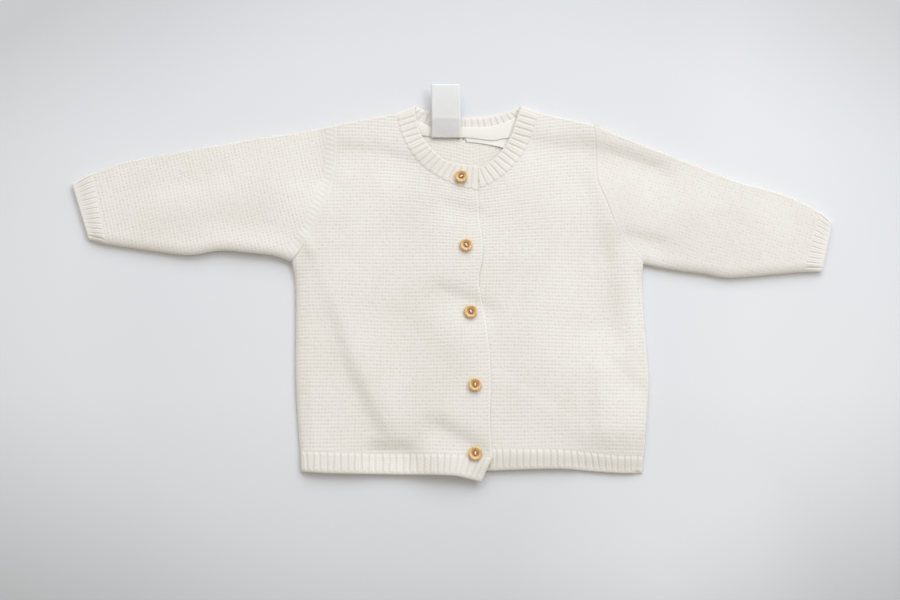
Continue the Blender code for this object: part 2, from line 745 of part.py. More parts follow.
def band_curves(rows):
    seams = [Vector((row.seam_x, row.seam_y)) for row in rows]
    frees = [Vector((row.free_x, row.free_y)) for row in rows]
    knots = by_length([seam.lerp(free, 0.5) for seam, free in zip(seams, frees)])
    middle = seams[0].lerp(frees[0], 0.5)
    length = 0.0
    for seam, free in zip(seams[1:], frees[1:]):
        length += (seam.lerp(free, 0.5) - middle).length
        middle = seam.lerp(free, 0.5)
    return spline(knots, seams), spline(knots, frees), length


def band_section(seam, free, heights, normal, rise):
    """The two points across the neckband, kept clear of the panels at its seam."""
    seam = seam.lerp(free, BAND_CLEAR / (free - seam).length)
    return [
        (level_point(seam, heights[0]), normal, rise),
        (level_point(free, heights[1]), normal, rise),
    ]


def band_front(rows, on_top, first, last):
    """Sections along a front stretch of the neckband, between two shares of its run."""
    seam, free, length = band_curves(rows)
    sections = []
    for place, rise in rib_steps(length * (last - first)):
        t = first + (last - first) * place
        heights = [upper(p.x, p.y, on_top) for p in (seam(t), free(t))]
        sections.append(band_section(seam(t), free(t), heights, up(), rise))
    return sections


def band_fold(front_rows, front_end, back_end):
    """Sections round a shoulder fold, from the front layer to the back one. front_end
    and back_end are the ends, 0 or 1, of the two stretches that meet there."""
    front_seam, front_free, front_length = band_curves(front_rows)
    back_seam, back_free, back_length = band_curves(BAND_BACK)
    run = (front_free(front_end) - front_seam(front_end)).to_3d()
    uphill = run.cross(up()).normalized()
    uphill = uphill if uphill.y > 0 else -uphill
    sections = []
    turn_start, turn_end = BAND_FOLD_TURN
    for angle in BAND_FOLD_ANGLES:
        out = math.sin(math.radians(angle))
        rise = math.cos(math.radians(angle))
        inset = FOLD_REACH - FOLD_R * out
        front_t = abs(front_end - inset / front_length)
        back_t = abs(back_end - inset / back_length)
        to_back = clamped((angle - turn_start) / (turn_end - turn_start))
        seam = front_seam(front_t).lerp(back_seam(back_t), to_back)
        free = front_free(front_t).lerp(back_free(back_t), to_back)
        heights = []
        for point in (seam, free):
            over = upper(point.x, point.y, False, rise) if rise > 0 else lower(-rise)
            heights.append(over)
        sections.append(band_section(seam, free, heights, uphill * out + up() * rise, 0.0))
    return sections


def neckband():
    """One 1x1 rib strip. On the back stretch its inside faces up, so the ribs rise on
    that side there and its underside stays level."""
    right_length = band_curves(BAND_RIGHT)[2]
    back_length = band_curves(BAND_BACK)[2]
    left_length = band_curves(BAND_LEFT)[2]
    sections = band_front(BAND_RIGHT, True, 0.0, 1 - FOLD_REACH / right_length)
    sections += band_fold(BAND_RIGHT, 1, 0)
    seam, free, _ = band_curves(BAND_BACK)
    margin = FOLD_REACH / back_length
    for place, rise in rib_steps(back_length - 2 * FOLD_REACH):
        t = margin + (1 - 2 * margin) * place
        section = band_section(seam(t), free(t), (lower(), lower()), up(-1), 0.0)
        sections.append([(point + up() * rise, normal, rise) for point, normal, _ in section])
    sections += band_fold(BAND_LEFT, 0, 1)[::-1]
    sections += band_front(BAND_LEFT, False, FOLD_REACH / left_length, 1.0)
    return wall("neckband", sections, IVORY_KNIT)


def strip(name, rows, height, finish, columns=STRIP_COLUMNS):
    """A thin level strip between the two edges of a table."""
    seam, free, _ = band_curves(rows)
    grid = []
    for i in range(columns + 1):
        t = i / columns
        ends = (seam(t), free(t))
        grid.append([(level_point(end, height), up(), 0.0) for end in ends])
    return wall(name, grid, finish, thickness=TAPE_WALL)


def neck_label():
    """A satin loop that rises from the tape over the neckband and hangs past it."""
    grid = []
    for before, row, after in zip(
        [NECK_LABEL[0]] + NECK_LABEL[:-1], NECK_LABEL, NECK_LABEL[1:] + [NECK_LABEL[-1]]
    ):
        normal = Vector((0, before.height - after.height, after.y - before.y)).normalized()
        ends = (NECK_LABEL_LEFT, NECK_LABEL_RIGHT)
        grid.append([(Vector((x, row.y, row.height)), normal, 0.0) for x in ends])
    return wall("neck_label", grid, WHITE_SATIN, thickness=TAPE_WALL)


def button(number, place):
    """A turned button with a raised rim and two holes through its sunk middle."""
    bm = bmesh.new()
    rings = []
    for row in BUTTON_SECTION:
        reach = row.radius * BUTTON_D / 2
        ring = []
        for i in range(BUTTON_SIDES):
            turn = 2 * math.pi * i / BUTTON_SIDES
            spot = (reach * math.cos(turn), reach * math.sin(turn), row.height * BUTTON_H)
            ring.append(bm.verts.new(spot))
        rings.append(ring)
    for low, high in zip(rings, rings[1:]):
        for i in range(BUTTON_SIDES):
            k = (i + 1) % BUTTON_SIDES
            bm.faces.new((low[i], low[k], high[k], high[i]))
    bm.faces.new(rings[0][::-1])
    bm.faces.new(rings[-1])
    base = upper(place.x, place.y, True) + WALL / 2 + SEAM
    base += RIB_RISE if place.under == "rib" else 0.0
    made = finish_object(f"button_{number}", bm, LIGHT_WOOD)
    made.location = (place.x * MM, place.y * MM, base * MM)
    made.rotation_euler = (0, 0, math.radians(place.turn))
    for side in (1, -1):
        bpy.ops.mesh.primitive_cylinder_add(
            vertices=BUTTON_HOLE_SIDES,
            radius=BUTTON_HOLE_D / 2 * MM,
            depth=4 * BUTTON_H * MM,
            location=(side * BUTTON_HOLES_APART / 2 * MM, 0, 0),
        )
        cutter = bpy.context.object
        cutter.name = f"button_{number}_hole_{'a' if side > 0 else 'b'}"
        cutter.parent = made
        cutter.hide_render = True
        cutter.display_type = "WIRE"
        cut = made.modifiers.new("hole", "BOOLEAN")
        cut.operation = "DIFFERENCE"
        cut.solver = "EXACT"
        cut.object = cutter
    return made


def build():
    for old in list(bpy.data.objects):
        bpy.data.objects.remove(old, do_unlink=True)
    back()
    back_hem()
    front("front_left", FRONT_LEFT, HEM_LEFT, on_top=False)
    hem("front_left_hem_rib", HEM_LEFT, on_top=False)
    front("front_right", FRONT_RIGHT, HEM_RIGHT, on_top=True)
    hem("front_right_hem_rib", HEM_RIGHT, on_top=True)
    sleeve("sleeve_right", SLEEVE_RIGHT, FRONT_RIGHT)
    sleeve("sleeve_left", SLEEVE_LEFT, FRONT_LEFT)
    cuff("cuff_right", CUFF_RIGHT)
    cuff("cuff_left", CUFF_LEFT)
    neckband()
    strip("neck_tape", TAPE, TAPE_MID, IVORY_TAPE)
    strip("size_label", SIZE_LABEL, SIZE_LABEL_MID, WHITE_SATIN, STRIP_COLUMNS // 2)
    neck_label()
    for number, place in enumerate(BUTTONS, start=1):
        button(number, place)


build()
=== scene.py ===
"""Visual model of a baby cardigan in ivory cotton knit, laid flat on its back, front up.

The frame is the CAD's: metres, +Z up, +X to the wearer's left, +Y from the hem to the
neck. The tables and sizes below are in millimetres. Each knitted piece is a grid of its
own stitches, laid out flat, cut to the piece's outline and raised stitch by stitch.
"""

import math
from collections import namedtuple
import bmesh
import bpy
import numpy as np
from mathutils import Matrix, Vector


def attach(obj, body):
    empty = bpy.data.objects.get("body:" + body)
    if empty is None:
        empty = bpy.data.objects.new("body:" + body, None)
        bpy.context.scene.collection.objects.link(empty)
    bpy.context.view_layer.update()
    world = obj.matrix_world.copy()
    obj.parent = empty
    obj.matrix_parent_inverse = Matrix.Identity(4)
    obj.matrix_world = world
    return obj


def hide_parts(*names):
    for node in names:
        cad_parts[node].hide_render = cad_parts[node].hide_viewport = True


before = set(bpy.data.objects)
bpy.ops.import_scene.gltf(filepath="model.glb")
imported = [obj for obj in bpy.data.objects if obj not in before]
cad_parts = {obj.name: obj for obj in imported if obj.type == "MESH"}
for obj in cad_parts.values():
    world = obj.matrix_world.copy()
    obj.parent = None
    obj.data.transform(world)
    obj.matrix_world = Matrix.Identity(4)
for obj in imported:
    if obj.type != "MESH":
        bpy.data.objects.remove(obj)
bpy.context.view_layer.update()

MM = 0.001
TINY = 1e-9

# ---- sizes, as in the CAD
WALL = 2.0
SEAM = 0.3
BACK_MID = 1.0
FRONT_MID = 5.0
FOLD_R = 2.0
FOLD_Z = 3.0
EDGE_R = FOLD_R + WALL / 2  # radius of the outer face where an edge rolls
RIB_PITCH = 5.3
RIB_RISE = 0.6
TAPE_WALL = 1.0
BUTTON_H = 2.4
HOLE_R = 0.75
HOLE_X = 1.4  # from a button's middle to each of its holes
LAP_LIFT = WALL + RIB_RISE + SEAM
LAP_RAMP = 45.0
LAP_MARGIN = 6.0

# ---- how edges lie
RIGHT_SIDE_REACH = 6.0  # how far in the right front goes on rising from its rolled side
LEFT_SIDE_REACH = 2.2  # the same for the left front
SHOULDER_REACH = 1.4  # the same at a shoulder
LOW_REACH = 8.0  # the same along the lower fold of a sleeve
HIGH_REACH = 1.4  # and along its upper fold
UNDER_REACH = 1.6  # how far in the underside of a rolled edge comes down to the surface
SIDE_FALL = 1.5  # how much the front sinks towards its side
SIDE_DROP = 1.6  # how much lower the side's fold is
SLEEVE_LIFT = 2.0  # how far the right sleeve's lower edge stands off the surface
CORNER_DROOP = 2.2  # how much lower the right front's hem is at its lapped corner
HEM_DROOP = 1.4  # how much lower the left front's hem is at its free edge
CUFF_DROOP = 1.9  # how much lower a cuff is at its mouth
CRIMP_AT = 3.6  # how far in from the lower fold of a cuff its crimped furrow is
TUCK = 0.8  # how far a ribbed strip reaches under the panel that it is knitted on to

# ---- the knit
WALE = 2.65  # width of one stitch
RIDGE = 2.9  # height of one garter ridge, which is two rows
GARTER_RISE = 0.65  # from the bottom of a groove to the top of a ridge
GARTER_MEAN = 0.73  # mean height of garter knit, as a share of that
PLAIN_ROW = 1.9  # height of one stitch of plain knit, in the ribs
SAMPLES = 4  # mesh columns in a stitch and mesh rows in a ridge
SELVEDGE = 1.9  # smooth column along the front edge
RIGHT_FASHIONED = 9.0  # how far the plain stitches reach at the right sleeve's head
LEFT_FASHIONED = 3.6  # and at the left one's
CUFF_PITCH = 4.5
HEM_RELIEF = 0.42  # height of the ribs at the hem
CUFF_RELIEF = 0.34
BAND_RELIEF = 0.34
PER_RIB = 10  # sections in a rib
FACE_ROWS = 33  # mesh rows across the ribbed face of a strip
SAG = 0.0012  # how much the ridges sag, for the square of how far in from SAG_REACH
SAG_REACH = 108.0
SAG_START = 10.0
SAG_OVER = 120.0

# ---- flat sizes, in metres
BACK_FLAT = (0.290, 0.284)
RIGHT_FRONT_FLAT = (0.161, 0.284)
LEFT_FRONT_FLAT = (0.158, 0.284)
SLEEVE_FLAT = (0.228, 0.198)
HEM_DEPTH = 0.0155
BACK_HEM_DEPTH = 0.015
BAND_DEPTH = 0.0155
TAPE_DEPTH = 0.0105
SMALL_LABEL_DEPTH = 0.012
SMALL_LABEL_SHOWS = 0.0002  # area of the small label that isn't turned in
NECK_LABEL_LENGTH = 0.048

# ---- outlines
# Each row has a point on one edge of the piece and the point across from it on the other.
# Fronts, from the hem up: outer edge, inner edge.
ARMPIT_ROW = 6
NECK_ROW = 11
FRONT_RIGHT = [
    (-133.3, -128.8, 17.0, -133.6),
    (-135.8, -103.0, 15.2, -104.0),
    (-138.0, -72.7, 16.2, -73.0),
    (-138.8, -33.0, 13.5, -34.0),
    (-139.4, -4.0, 8.3, -4.5),
    (-140.4, 9.0, 6.8, 7.5),
    (-143.2, 22.6, 9.8, 24.0),
    (-136.8, 30.5, 10.5, 33.0),
    (-129.8, 41.1, 9.6, 42.5),
    (-122.1, 57.6, 7.6, 57.5),
    (-115.9, 72.5, 6.9, 70.5),
    (-113.4, 79.0, 6.6, 80.4),
    (-111.6, 84.8, -7.0, 83.4),
    (-110.5, 89.1, -20.0, 88.7),
    (-109.6, 95.5, -31.0, 95.4),
    (-108.5, 104.2, -41.5, 104.6),
    (-108.2, 117.0, -51.2, 118.5),
    (-108.2, 126.5, -56.4, 131.2),
    (-108.3, 136.8, -59.3, 146.3),
]
FRONT_LEFT = [
    (135.5, -132.4, -6.5, -127.0),
    (139.0, -98.0, -6.5, -98.0),
    (141.1, -70.5, -6.8, -70.5),
    (138.6, -27.0, -9.0, -27.0),
    (137.8, 0.0, -11.0, 0.0),
    (137.9, 12.0, -12.3, 12.0),
    (138.9, 20.8, -13.0, 22.0),
    (132.7, 29.2, -13.4, 30.0),
    (124.9, 37.5, -13.8, 38.0),
    (117.3, 52.6, -14.6, 52.0),
    (112.0, 67.5, -15.4, 66.0),
    (107.4, 79.6, -16.0, 79.5),
    (105.3, 84.2, 4.5, 82.0),
    (103.8, 88.6, 17.1, 86.9),
    (103.2, 94.5, 30.1, 96.2),
    (102.9, 103.5, 39.9, 107.3),
    (102.9, 114.0, 48.0, 121.6),
    (102.6, 124.0, 52.4, 134.8),
    (101.5, 136.6, 56.8, 147.0),
]
# Hems: top edge, lower edge.
HEM_RIGHT = [
    (-133.3, -128.8, -132.2, -144.2),
    (-110.0, -129.6, -110.0, -145.5),
    (-66.0, -130.7, -66.0, -146.4),
    (-24.0, -131.0, -24.5, -147.0),
    (-6.0, -131.8, -9.8, -148.0),
    (17.0, -133.6, 8.3, -152.2),
]
HEM_LEFT = [
    (135.5, -132.4, 134.2, -145.4),
    (114.0, -132.0, 114.0, -145.2),
    (94.0, -129.8, 96.0, -144.0),
    (69.5, -127.4, 69.4, -142.0),
    (18.0, -127.0, 17.6, -143.4),
    (-6.5, -127.0, -6.5, -144.4),
]
HEM_BACK = [
    (-133.3, -128.8, -132.2, -143.8),
    (-60.0, -129.8, -60.0, -143.4),
    (20.0, -131.0, 20.0, -141.6),
    (70.0, -131.6, 70.0, -140.8),
    (100.0, -132.0, 100.0, -142.6),
    (135.5, -132.4, 134.2, -144.8),
]
# Sleeves, from the cuff to the armhole, and cuffs, from the sleeve out: upper fold, lower.
SLEEVE_RIGHT = [
    (-306.4, 95.4, -292.2, 37.2),
    (-282.0, 104.3, -268.0, 33.4),
    (-255.0, 110.0, -246.0, 30.2),
    (-226.0, 115.4, -224.0, 28.0),
    (-196.0, 120.9, -200.0, 31.4),
    (-166.0, 126.2, -177.0, 29.6),
    (-134.0, 131.0, -157.0, 27.2),
    (-108.3, 136.8, -143.2, 22.6),
]
SLEEVE_LEFT = [
    (282.5, 63.2, 266.4, 14.2),
    (264.0, 73.4, 247.8, 12.6),
    (245.0, 80.8, 227.7, 10.8),
    (219.0, 87.8, 205.0, 9.6),
    (190.0, 99.4, 188.0, 12.6),
    (160.0, 111.8, 170.0, 15.0),
    (128.0, 125.0, 153.0, 17.8),
    (101.5, 136.6, 138.9, 20.8),
]
CUFF_RIGHT = [SLEEVE_RIGHT[0], (-322.5, 86.9, -306.6, 41.2)]
CUFF_LEFT = [SLEEVE_LEFT[0], (292.4, 54.8, 282.0, 14.6)]
# Neckband, round the neck from the right front's edge: seam, free edge.
BAND_RIGHT = [
    (6.6, 80.4, 6.8, 100.4),
    (-7.0, 83.4, -3.0, 101.0),
    (-20.0, 88.7, -12.8, 102.6),
    (-31.0, 95.4, -21.8, 106.4),
    (-41.5, 104.6, -30.0, 113.8),
    (-51.2, 118.5, -37.8, 123.8),
    (-56.4, 131.2, -42.4, 135.2),
    (-59.3, 146.3, -45.0, 152.6),
]
BAND_BACK = [
    (-59.3, 146.3, -45.0, 152.6),
    (-44.7, 138.9, -36.0, 149.8),
    (-28.3, 132.0, -24.2, 146.4),
    (-11.9, 128.6, -11.0, 144.2),
    (0.3, 128.0, -0.4, 143.8),
    (12.6, 128.6, 9.6, 144.4),
    (27.3, 132.0, 21.4, 146.0),
    (43.0, 138.9, 32.6, 149.2),
    (56.8, 147.0, 42.2, 152.6),
]
BAND_LEFT = [
    (56.8, 147.0, 42.2, 152.6),
    (52.4, 134.8, 37.6, 139.8),
    (48.0, 121.6, 33.2, 126.4),
    (39.9, 107.3, 27.2, 116.2),
    (30.1, 96.2, 18.6, 106.8),
    (17.1, 86.9, 9.4, 100.8),
    (4.5, 82.0, 0.6, 98.0),
    (-16.0, 79.5, -14.6, 96.2),
]
# The tape over the back's neck seam and the small label under it: lower edge, upper edge.
TAPE = [
    (-47.5, 129.4, -45.5, 141.8),
    (-36.0, 127.3, -33.5, 136.0),
    (-20.0, 126.3, -18.5, 134.9),
    (0.0, 125.7, 0.0, 134.7),
    (10.0, 124.3, 10.0, 134.7),
    (19.6, 123.4, 19.0, 135.6),
    (27.0, 124.8, 27.5, 138.2),
    (40.0, 126.2, 38.0, 143.2),
]
TAPE_MID = WALL + RIB_RISE + SEAM / 2 + TAPE_WALL / 2
SIZE_LABEL = [
    (-2.5, 122.5, -4.6, 126.8),
    (9.9, 121.1, 9.5, 126.6),
    (23.1, 118.4, 22.5, 126.2),
    (34.0, 114.8, 34.0, 125.8),
]
SIZE_LABEL_MID = WALL + SEAM + TAPE_WALL / 2
# The neck label, from its sewn end: y, height.
NECK_LABEL_X = -31.4
NECK_LABEL_W = 23.8
NECK_LABEL = [(125.6, 3.9), (130.0, 4.8), (136.0, 6.0), (141.0, 6.9)]
NECK_LABEL += [(148.0, 7.3), (158.0, 7.4), (165.5, 7.6), (169.8, 7.8)]

# Folds of the upper layer along a path: height, width to the path's left and to its right
Fold = namedtuple("Fold", "name height left right path")
FOLDS = [
    # The CAD's folds, as the photo's shading shows them
    Fold("right chest", 1.6, 60, 60, [(-78, 50), (-60, -40)]),
    Fold("left chest", 1.6, 55, 55, [(68, 60), (64, -60)]),
    Fold("drag to the hem", 1.0, 26, 8, [(-122, 26), (-104, -18), (-88, -64), (-66, -104)]),
    Fold("beside the drag", -0.9, 8, 24, [(-112, -30), (-100, -66), (-78, -110)]),
    Fold("lap above button 3", -1.7, 8, 20, [(-19, -5), (8, -15)]),
    Fold("lap below button 1", -0.8, 7, 12, [(-14, 66), (5, 60)]),
    Fold("lap above button 5", -2.1, 8, 15, [(-23, -112), (4, -128)]),
    Fold("right collarbone", -1.5, 8, 22, [(-98, 113), (-74, 112), (-46, 102)]),
    Fold("left front crease", -0.7, 20, 7, [(26, -64), (64, -87), (98, -111)]),
    Fold("left waist", 1.8, 42, 16, [(94, -106), (134, -110)]),
    Fold("left armhole groove", -2.2, 12, 30, [(92, 80), (98, 52), (107, 20), (108, -28)]),
    Fold("right sleeve head", 1.4, 24, 24, [(-160, 78), (-250, 68)]),
    Fold("right sleeve hollow", -2.3, 10, 24, [(-124, 130), (-122, 94)]),
    Fold("left sleeve head", 1.4, 24, 24, [(160, 62), (236, 46)]),
    Fold("left sleeve groove", -1.8, 9, 24, [(94, 118), (146, 99)]),
    Fold("left underarm", -1.4, 7, 20, [(130, 41), (150, 36)]),
    # Finer creases
    Fold("right middle", -0.9, 14, 24, [(-54, -26), (-26, -56), (-12, -76)]),
    Fold("drag foot", 0.7, 14, 9, [(-90, -54), (-66, -102)]),
    Fold("above the right hem", -3.0, 8, 16, [(-72, -130), (-54, -130)]),
    Fold("left armhole foot", -1.3, 11, 26, [(107, 24), (109, -26)]),
    Fold("left side edge", 1.4, 16, 7, [(103, -66), (102, -112)]),
    Fold("left hem", -1.6, 14, 9, [(90, -140), (136, -142)]),
    Fold("left shoulder", -1.6, 9, 24, [(54, 119), (90, 113)]),
    Fold("left hip", -0.9, 7, 18, [(110, -60), (136, -84)]),
    Fold("right armhole", -0.5, 7, 6, [(-102, 82), (-108, 48)]),
    Fold("right underarm", 0.8, 5, 5, [(-133, 42), (-128, 33)]),
    Fold("right forearm", -0.5, 9, 18, [(-262, 80), (-200, 92)]),
    Fold("left forearm", -0.5, 8, 16, [(206, 57), (222, 49)]),
    Fold("left sleeve fold", -0.8, 7, 16, [(116, 111), (152, 99)]),
    Fold("left front softening", 0.3, 16, 7, [(26, -64), (64, -87), (98, -111)]),
]

Button = namedtuple("Button", "x y turn under diameter")
BUTTONS = [
    Button(-6.9, 91.1, 30, "rib", 10.4),
    Button(-3.0, 34.7, 115, "panel", 10.2),
    Button(0.5, -18.9, 120, "panel", 10.8),
    Button(3.7, -77.0, 85, "panel", 10.5),
    Button(3.7, -130.4, 90, "rib", 10.9),
]
# Half of a button's section, from its foot to the sunk middle, as shares of its radius
# and of its height
BUTTON_FOOT = [(0.0, 0.0), (0.70, 0.0), (0.84, 0.04), (0.95, 0.18), (1.0, 0.42)]
BUTTON_RIM = [(1.0, 0.60), (0.97, 0.82), (0.90, 0.96), (0.82, 1.0), (0.74, 0.97)]
BUTTON_MIDDLE = [(0.66, 0.86), (0.57, 0.72), (0.47, 0.64), (0.30, 0.61), (0.0, 0.60)]


# ---- curves and heights
def smooth(value):
    value = np.clip(value, 0.0, 1.0)
    return value * value * (3 - 2 * value)


def fading(away, reach):
    return 1 - smooth(away / reach)


def blend(a, b, share):
    return a * (1 - share) + b * share


def wave(turns):
    """A cosine wave that runs from 1 down to 0 and back in each turn."""
    return 0.5 + 0.5 * np.cos(2 * np.pi * turns)


def two_edges(rows):
    rows = np.array(rows)
    return rows[:, :2], rows[:, 2:]


def spline(knots, points, corners=()):
    """A function that runs smoothly through the points, and turns sharply at those
    whose index is in corners."""
    knots = np.asarray(knots, float)
    points = np.asarray(points, float).reshape(len(knots), -1)
    last = len(points) - 1
    starts = (points[1:] - points[:-1]) / (knots[1:] - knots[:-1])[:, None]
    stops = starts.copy()
    for i in range(1, last):
        if i not in corners:
            rate = (points[i + 1] - points[i - 1]) / (knots[i + 1] - knots[i - 1])
            starts[i] = stops[i - 1] = rate

    def at(t):
        t = np.atleast_1d(np.asarray(t, float))
        i = np.clip(np.searchsorted(knots, t, side="right") - 1, 0, last - 1)
        span = (knots[i + 1] - knots[i])[:, None]
        s = (t - knots[i])[:, None] / span
        made = points[i] * (1 + 2 * s) * (1 - s) ** 2 + starts[i] * span * s * (1 - s) ** 2
        return made + points[i + 1] * s * s * (3 - 2 * s) + stops[i] * span * s * s * (s - 1)

    return at


def steps_of(points):
    return np.hypot(*np.diff(points, axis=0).T)


def by_length(points):
    lengths = np.concatenate([[0.0], np.cumsum(steps_of(points))])
    return lengths / lengths[-1]


def run_through(points, places):
    """Places, as shares of its length, on the smooth line through the points."""
    return spline(by_length(points), points)(places)


def fold_height(plan):
    """What the folds add to the height of the upper layer."""
    total = np.zeros(len(plan))
    for fold in FOLDS:
        nearest = np.full(len(plan), np.inf)
        for start, end in zip(fold.path, fold.path[1:]):
            start = np.array(start, float)
            run = np.array(end, float) - start
            share = np.clip((plan - start) @ run / (run @ run), 0, 1)
            off = plan - start - share[:, None] * run
            away = np.hypot(off[:, 0], off[:, 1])
            side = run[0] * off[:, 1] - run[1] * off[:, 0]
            side = side / np.maximum(np.hypot(*run) * away, TINY)
            width = (fold.left * (1 + side) + fold.right * (1 - side)) / 2
            nearest = np.minimum(nearest, away / width)
        total += fold.height * np.exp(-nearest * nearest)
    return total


def lap(plan):
    """How much the right front is lifted where it lies on the left one."""
    hidden = two_edges(FRONT_LEFT)[1][: NECK_ROW + 1]
    edge = spline(hidden[:, 1], hidden[:, 0])
    y = np.clip(plan[:, 1], hidden[0, 1], hidden[-1, 1])
    ramp_start = edge(y)[:, 0] - LAP_RAMP - LAP_MARGIN
    return LAP_LIFT * smooth((plan[:, 0] - ramp_start) / LAP_RAMP)


def upper_mid(plan, on_top):
    """The middle of the upper layer away from its rolled edges."""
    return FRONT_MID + fold_height(plan) + (lap(plan) if on_top else 0.0)


def roll_share(away, reach):
    """How much of its rise an outer face has at a distance from a rolled edge."""
    return np.sqrt(np.clip(1 - (1 - np.clip(away / reach, 0, 1)) ** 2, 0, 1))


def side_place(away, to_arm=np.inf):
    """How much lower the fold at the body's side is, and the front beside it."""
    low = smooth(to_arm / 16)
    return SIDE_DROP * low * fading(away, 5.0), SIDE_FALL * low * fading(away, 13.0)


def distance(points, line):
    """How far each point is from a run of straight lines, the nearest place on it, how
    far along that is, and the direction of the line there."""
    best = np.full(len(points), np.inf)
    foot = np.zeros((len(points), 2))
    along = np.zeros(len(points))
    heading = np.zeros((len(points), 2))
    run = 0.0
    for start, end in zip(line[:-1], line[1:]):
        step = end - start
        length = math.hypot(*step)
        if length < TINY:
            continue
        share = np.clip((points - start) @ step / length**2, 0, 1)
        place = start + share[:, None] * step
        away = np.hypot(*(points - place).T)
        closer = away < best
        best[closer] = away[closer]
        foot[closer] = place[closer]
        along[closer] = run + share[closer] * length
        heading[closer] = step / length
        run += length
    return best, foot, along, heading


def within(points, outline):
    inside = np.zeros(len(points), bool)
    x, y = points.T
    for (ax, ay), (bx, by) in zip(outline, np.roll(outline, -1, axis=0)):
        if ay != by:
            inside ^= ((ay > y) != (by > y)) & (x < ax + (y - ay) / (by - ay) * (bx - ax))
    return inside


def outline_of(sides):
    return np.concatenate([line[:-1] for _, line in sides])


def area_of(sides):
    x, y = outline_of(sides).T
    return abs(x @ np.roll(y, -1) - y @ np.roll(x, -1)) / 2 * MM * MM


# ---- stitches
chance = np.random.default_rng(11)
UNEVEN = chance.uniform(0.5, 1.0, (211, 223))  # how deep each gap between stitches is
SWAY = np.cumsum(chance.normal(0, 0.10, 400))  # how the columns of stitches wander
SWAY = np.convolve(SWAY, np.ones(5) / 5, "same")


def depth_of(column, row):
    column = np.round(column).astype(int) % UNEVEN.shape[0]
    return UNEVEN[column, np.round(row).astype(int) % UNEVEN.shape[1]]


def garter(u, v):
    """Height of garter knit, from 0 to 1: ridges of interlocking loops, and in the
    grooves between them one deeper gap for each stitch. u counts stitches, v ridges."""
    u = u + np.interp(v + 100, np.arange(len(SWAY)), SWAY)
    groove = wave(v + 0.15 * np.cos(2 * np.pi * u)) ** 1.3
    gap = wave(u) ** 1.2 * depth_of(u, v)
    bead = 0.5 - 0.5 * np.cos(2 * np.pi * u + 0.6 * np.sin(2 * np.pi * v))
    return 1 - groove * (0.08 + 0.92 * gap) - 0.36 * bead * (1 - groove)


def slanting(away, along):
    """Height of the fashioned edge of a sleeve: a column of plain stitches at the seam,
    and beside it rows that slant down to it."""
    strokes = wave(along / 4.2 - 0.16 * away / WALE)
    chain = wave(along / 2.0 + np.abs(away - 1.2) / 1.6)
    beside = smooth((away - 2.0) / 0.8)
    groove = np.exp(-(((away - 2.5) / 0.45) ** 2))
    return blend(0.75 + 0.2 * chain, 0.68 + 0.26 * strokes, beside) - 0.25 * groove


def rib(p, r, half=0.42, soft=0.5):
    """Height of a 1x1 rib, from 0 to 1. p counts ribs and r counts rows: each raised
    column is two rows of slanting strokes, and the furrow beside it is dotted. A column
    is level to half and falls over soft, as shares of half a rib."""
    p = p + 0.05 * np.sin(2.3 * np.floor(p + 0.5) + 0.35 * r)
    across = np.abs(2 * (p - np.floor(p)) - 1)
    column = 1 - smooth((across - half) / soft)
    middle = 0.42 * np.exp(-((across / 0.16) ** 2)) * (0.7 + 0.3 * np.cos(2 * np.pi * r))
    strokes = 0.13 * np.cos(2 * np.pi * (r + 0.5 * across)) * column
    dots = (1 - column) * (0.17 + 0.17 * np.cos(2 * np.pi * r + 1.5 * depth_of(p, r)))
    return np.clip(0.34 + 0.62 * column - middle * column + strokes - dots, 0, 1)


# ---- materials
def node(tree, kind, inputs, **settings):
    """A node with each input set to a constant or linked to another node's output."""
    made = tree.nodes.new(kind)
    for name, value in settings.items():
        setattr(made, name, value)
    plug(tree, made, inputs)
    return made


def plug(tree, into, inputs):
    for name, value in inputs.items():
        if isinstance(value, bpy.types.NodeSocket):
            tree.links.new(value, into.inputs[name])
        else:
            into.inputs[name].default_value = value


def maths(tree, operation, *values):
    return node(tree, "ShaderNodeMath", dict(enumerate(values)), operation=operation).outputs[0]


def noise(tree, place, scale, detail):
    inputs = {"Vector": place, "Scale": scale, "Detail": detail}
    return node(tree, "ShaderNodeTexNoise", inputs).outputs["Fac"]


def weave(tree, place, direction, scale, distortion):
    inputs = {"Vector": place, "Scale": scale, "Distortion": distortion}
    made = node(tree, "ShaderNodeTexWave", inputs, bands_direction=direction)
    return made.outputs["Fac"]


def ramp(tree, factor, *stops):
    """A colour that runs through the stops, each of them a place and a colour or grey."""
    made = node(tree, "ShaderNodeValToRGB", {"Fac": factor})
    elements = made.color_ramp.elements
    while len(elements) < len(stops):
        elements.new(0.5)
    for element, (place, colour) in zip(elements, stops):
        element.position = place
        element.color = (*(colour if isinstance(colour, tuple) else [colour] * 3), 1.0)
    return made.outputs["Color"]


def times(tree, a, b):
    inputs = {0: 1.0, 6: a, 7: b}
    made = node(tree, "ShaderNodeMix", inputs, data_type="RGBA", blend_type="MULTIPLY")
    return made.outputs[2]


def bump(tree, height, strength, depth):
    inputs = {"Height": height, "Strength": strength, "Distance": depth}
    return node(tree, "ShaderNodeBump", inputs).outputs["Normal"]


# The third value of the knit attribute: a tone that colours are ramped by. It carries painted
# shade in the knit's grooves, along toned edges and in the buttons' sunk middles, and the armhole
# seams' darker line.
def stitch_height(tree):
    knit = node(tree, "ShaderNodeAttribute", {}, attribute_name="knit").outputs["Vector"]
    return node(tree, "ShaderNodeSeparateXYZ", {0: knit}).outputs["Z"]


def blank_material(name, roughness, sheen=0.0):
    """A material, its nodes, its shader and the place on the object."""
    made = bpy.data.materials.new(name)
    made.use_nodes = True
    tree = made.node_tree
    shader = tree.nodes["Principled BSDF"]
    looks = {"Roughness": roughness, "Sheen Weight": sheen, "Sheen Roughness": 0.6}
    plug(tree, shader, {**looks, "Specular IOR Level": 0.25})
    return made, tree, shader, node(tree, "ShaderNodeTexCoord", {}).outputs["Object"]


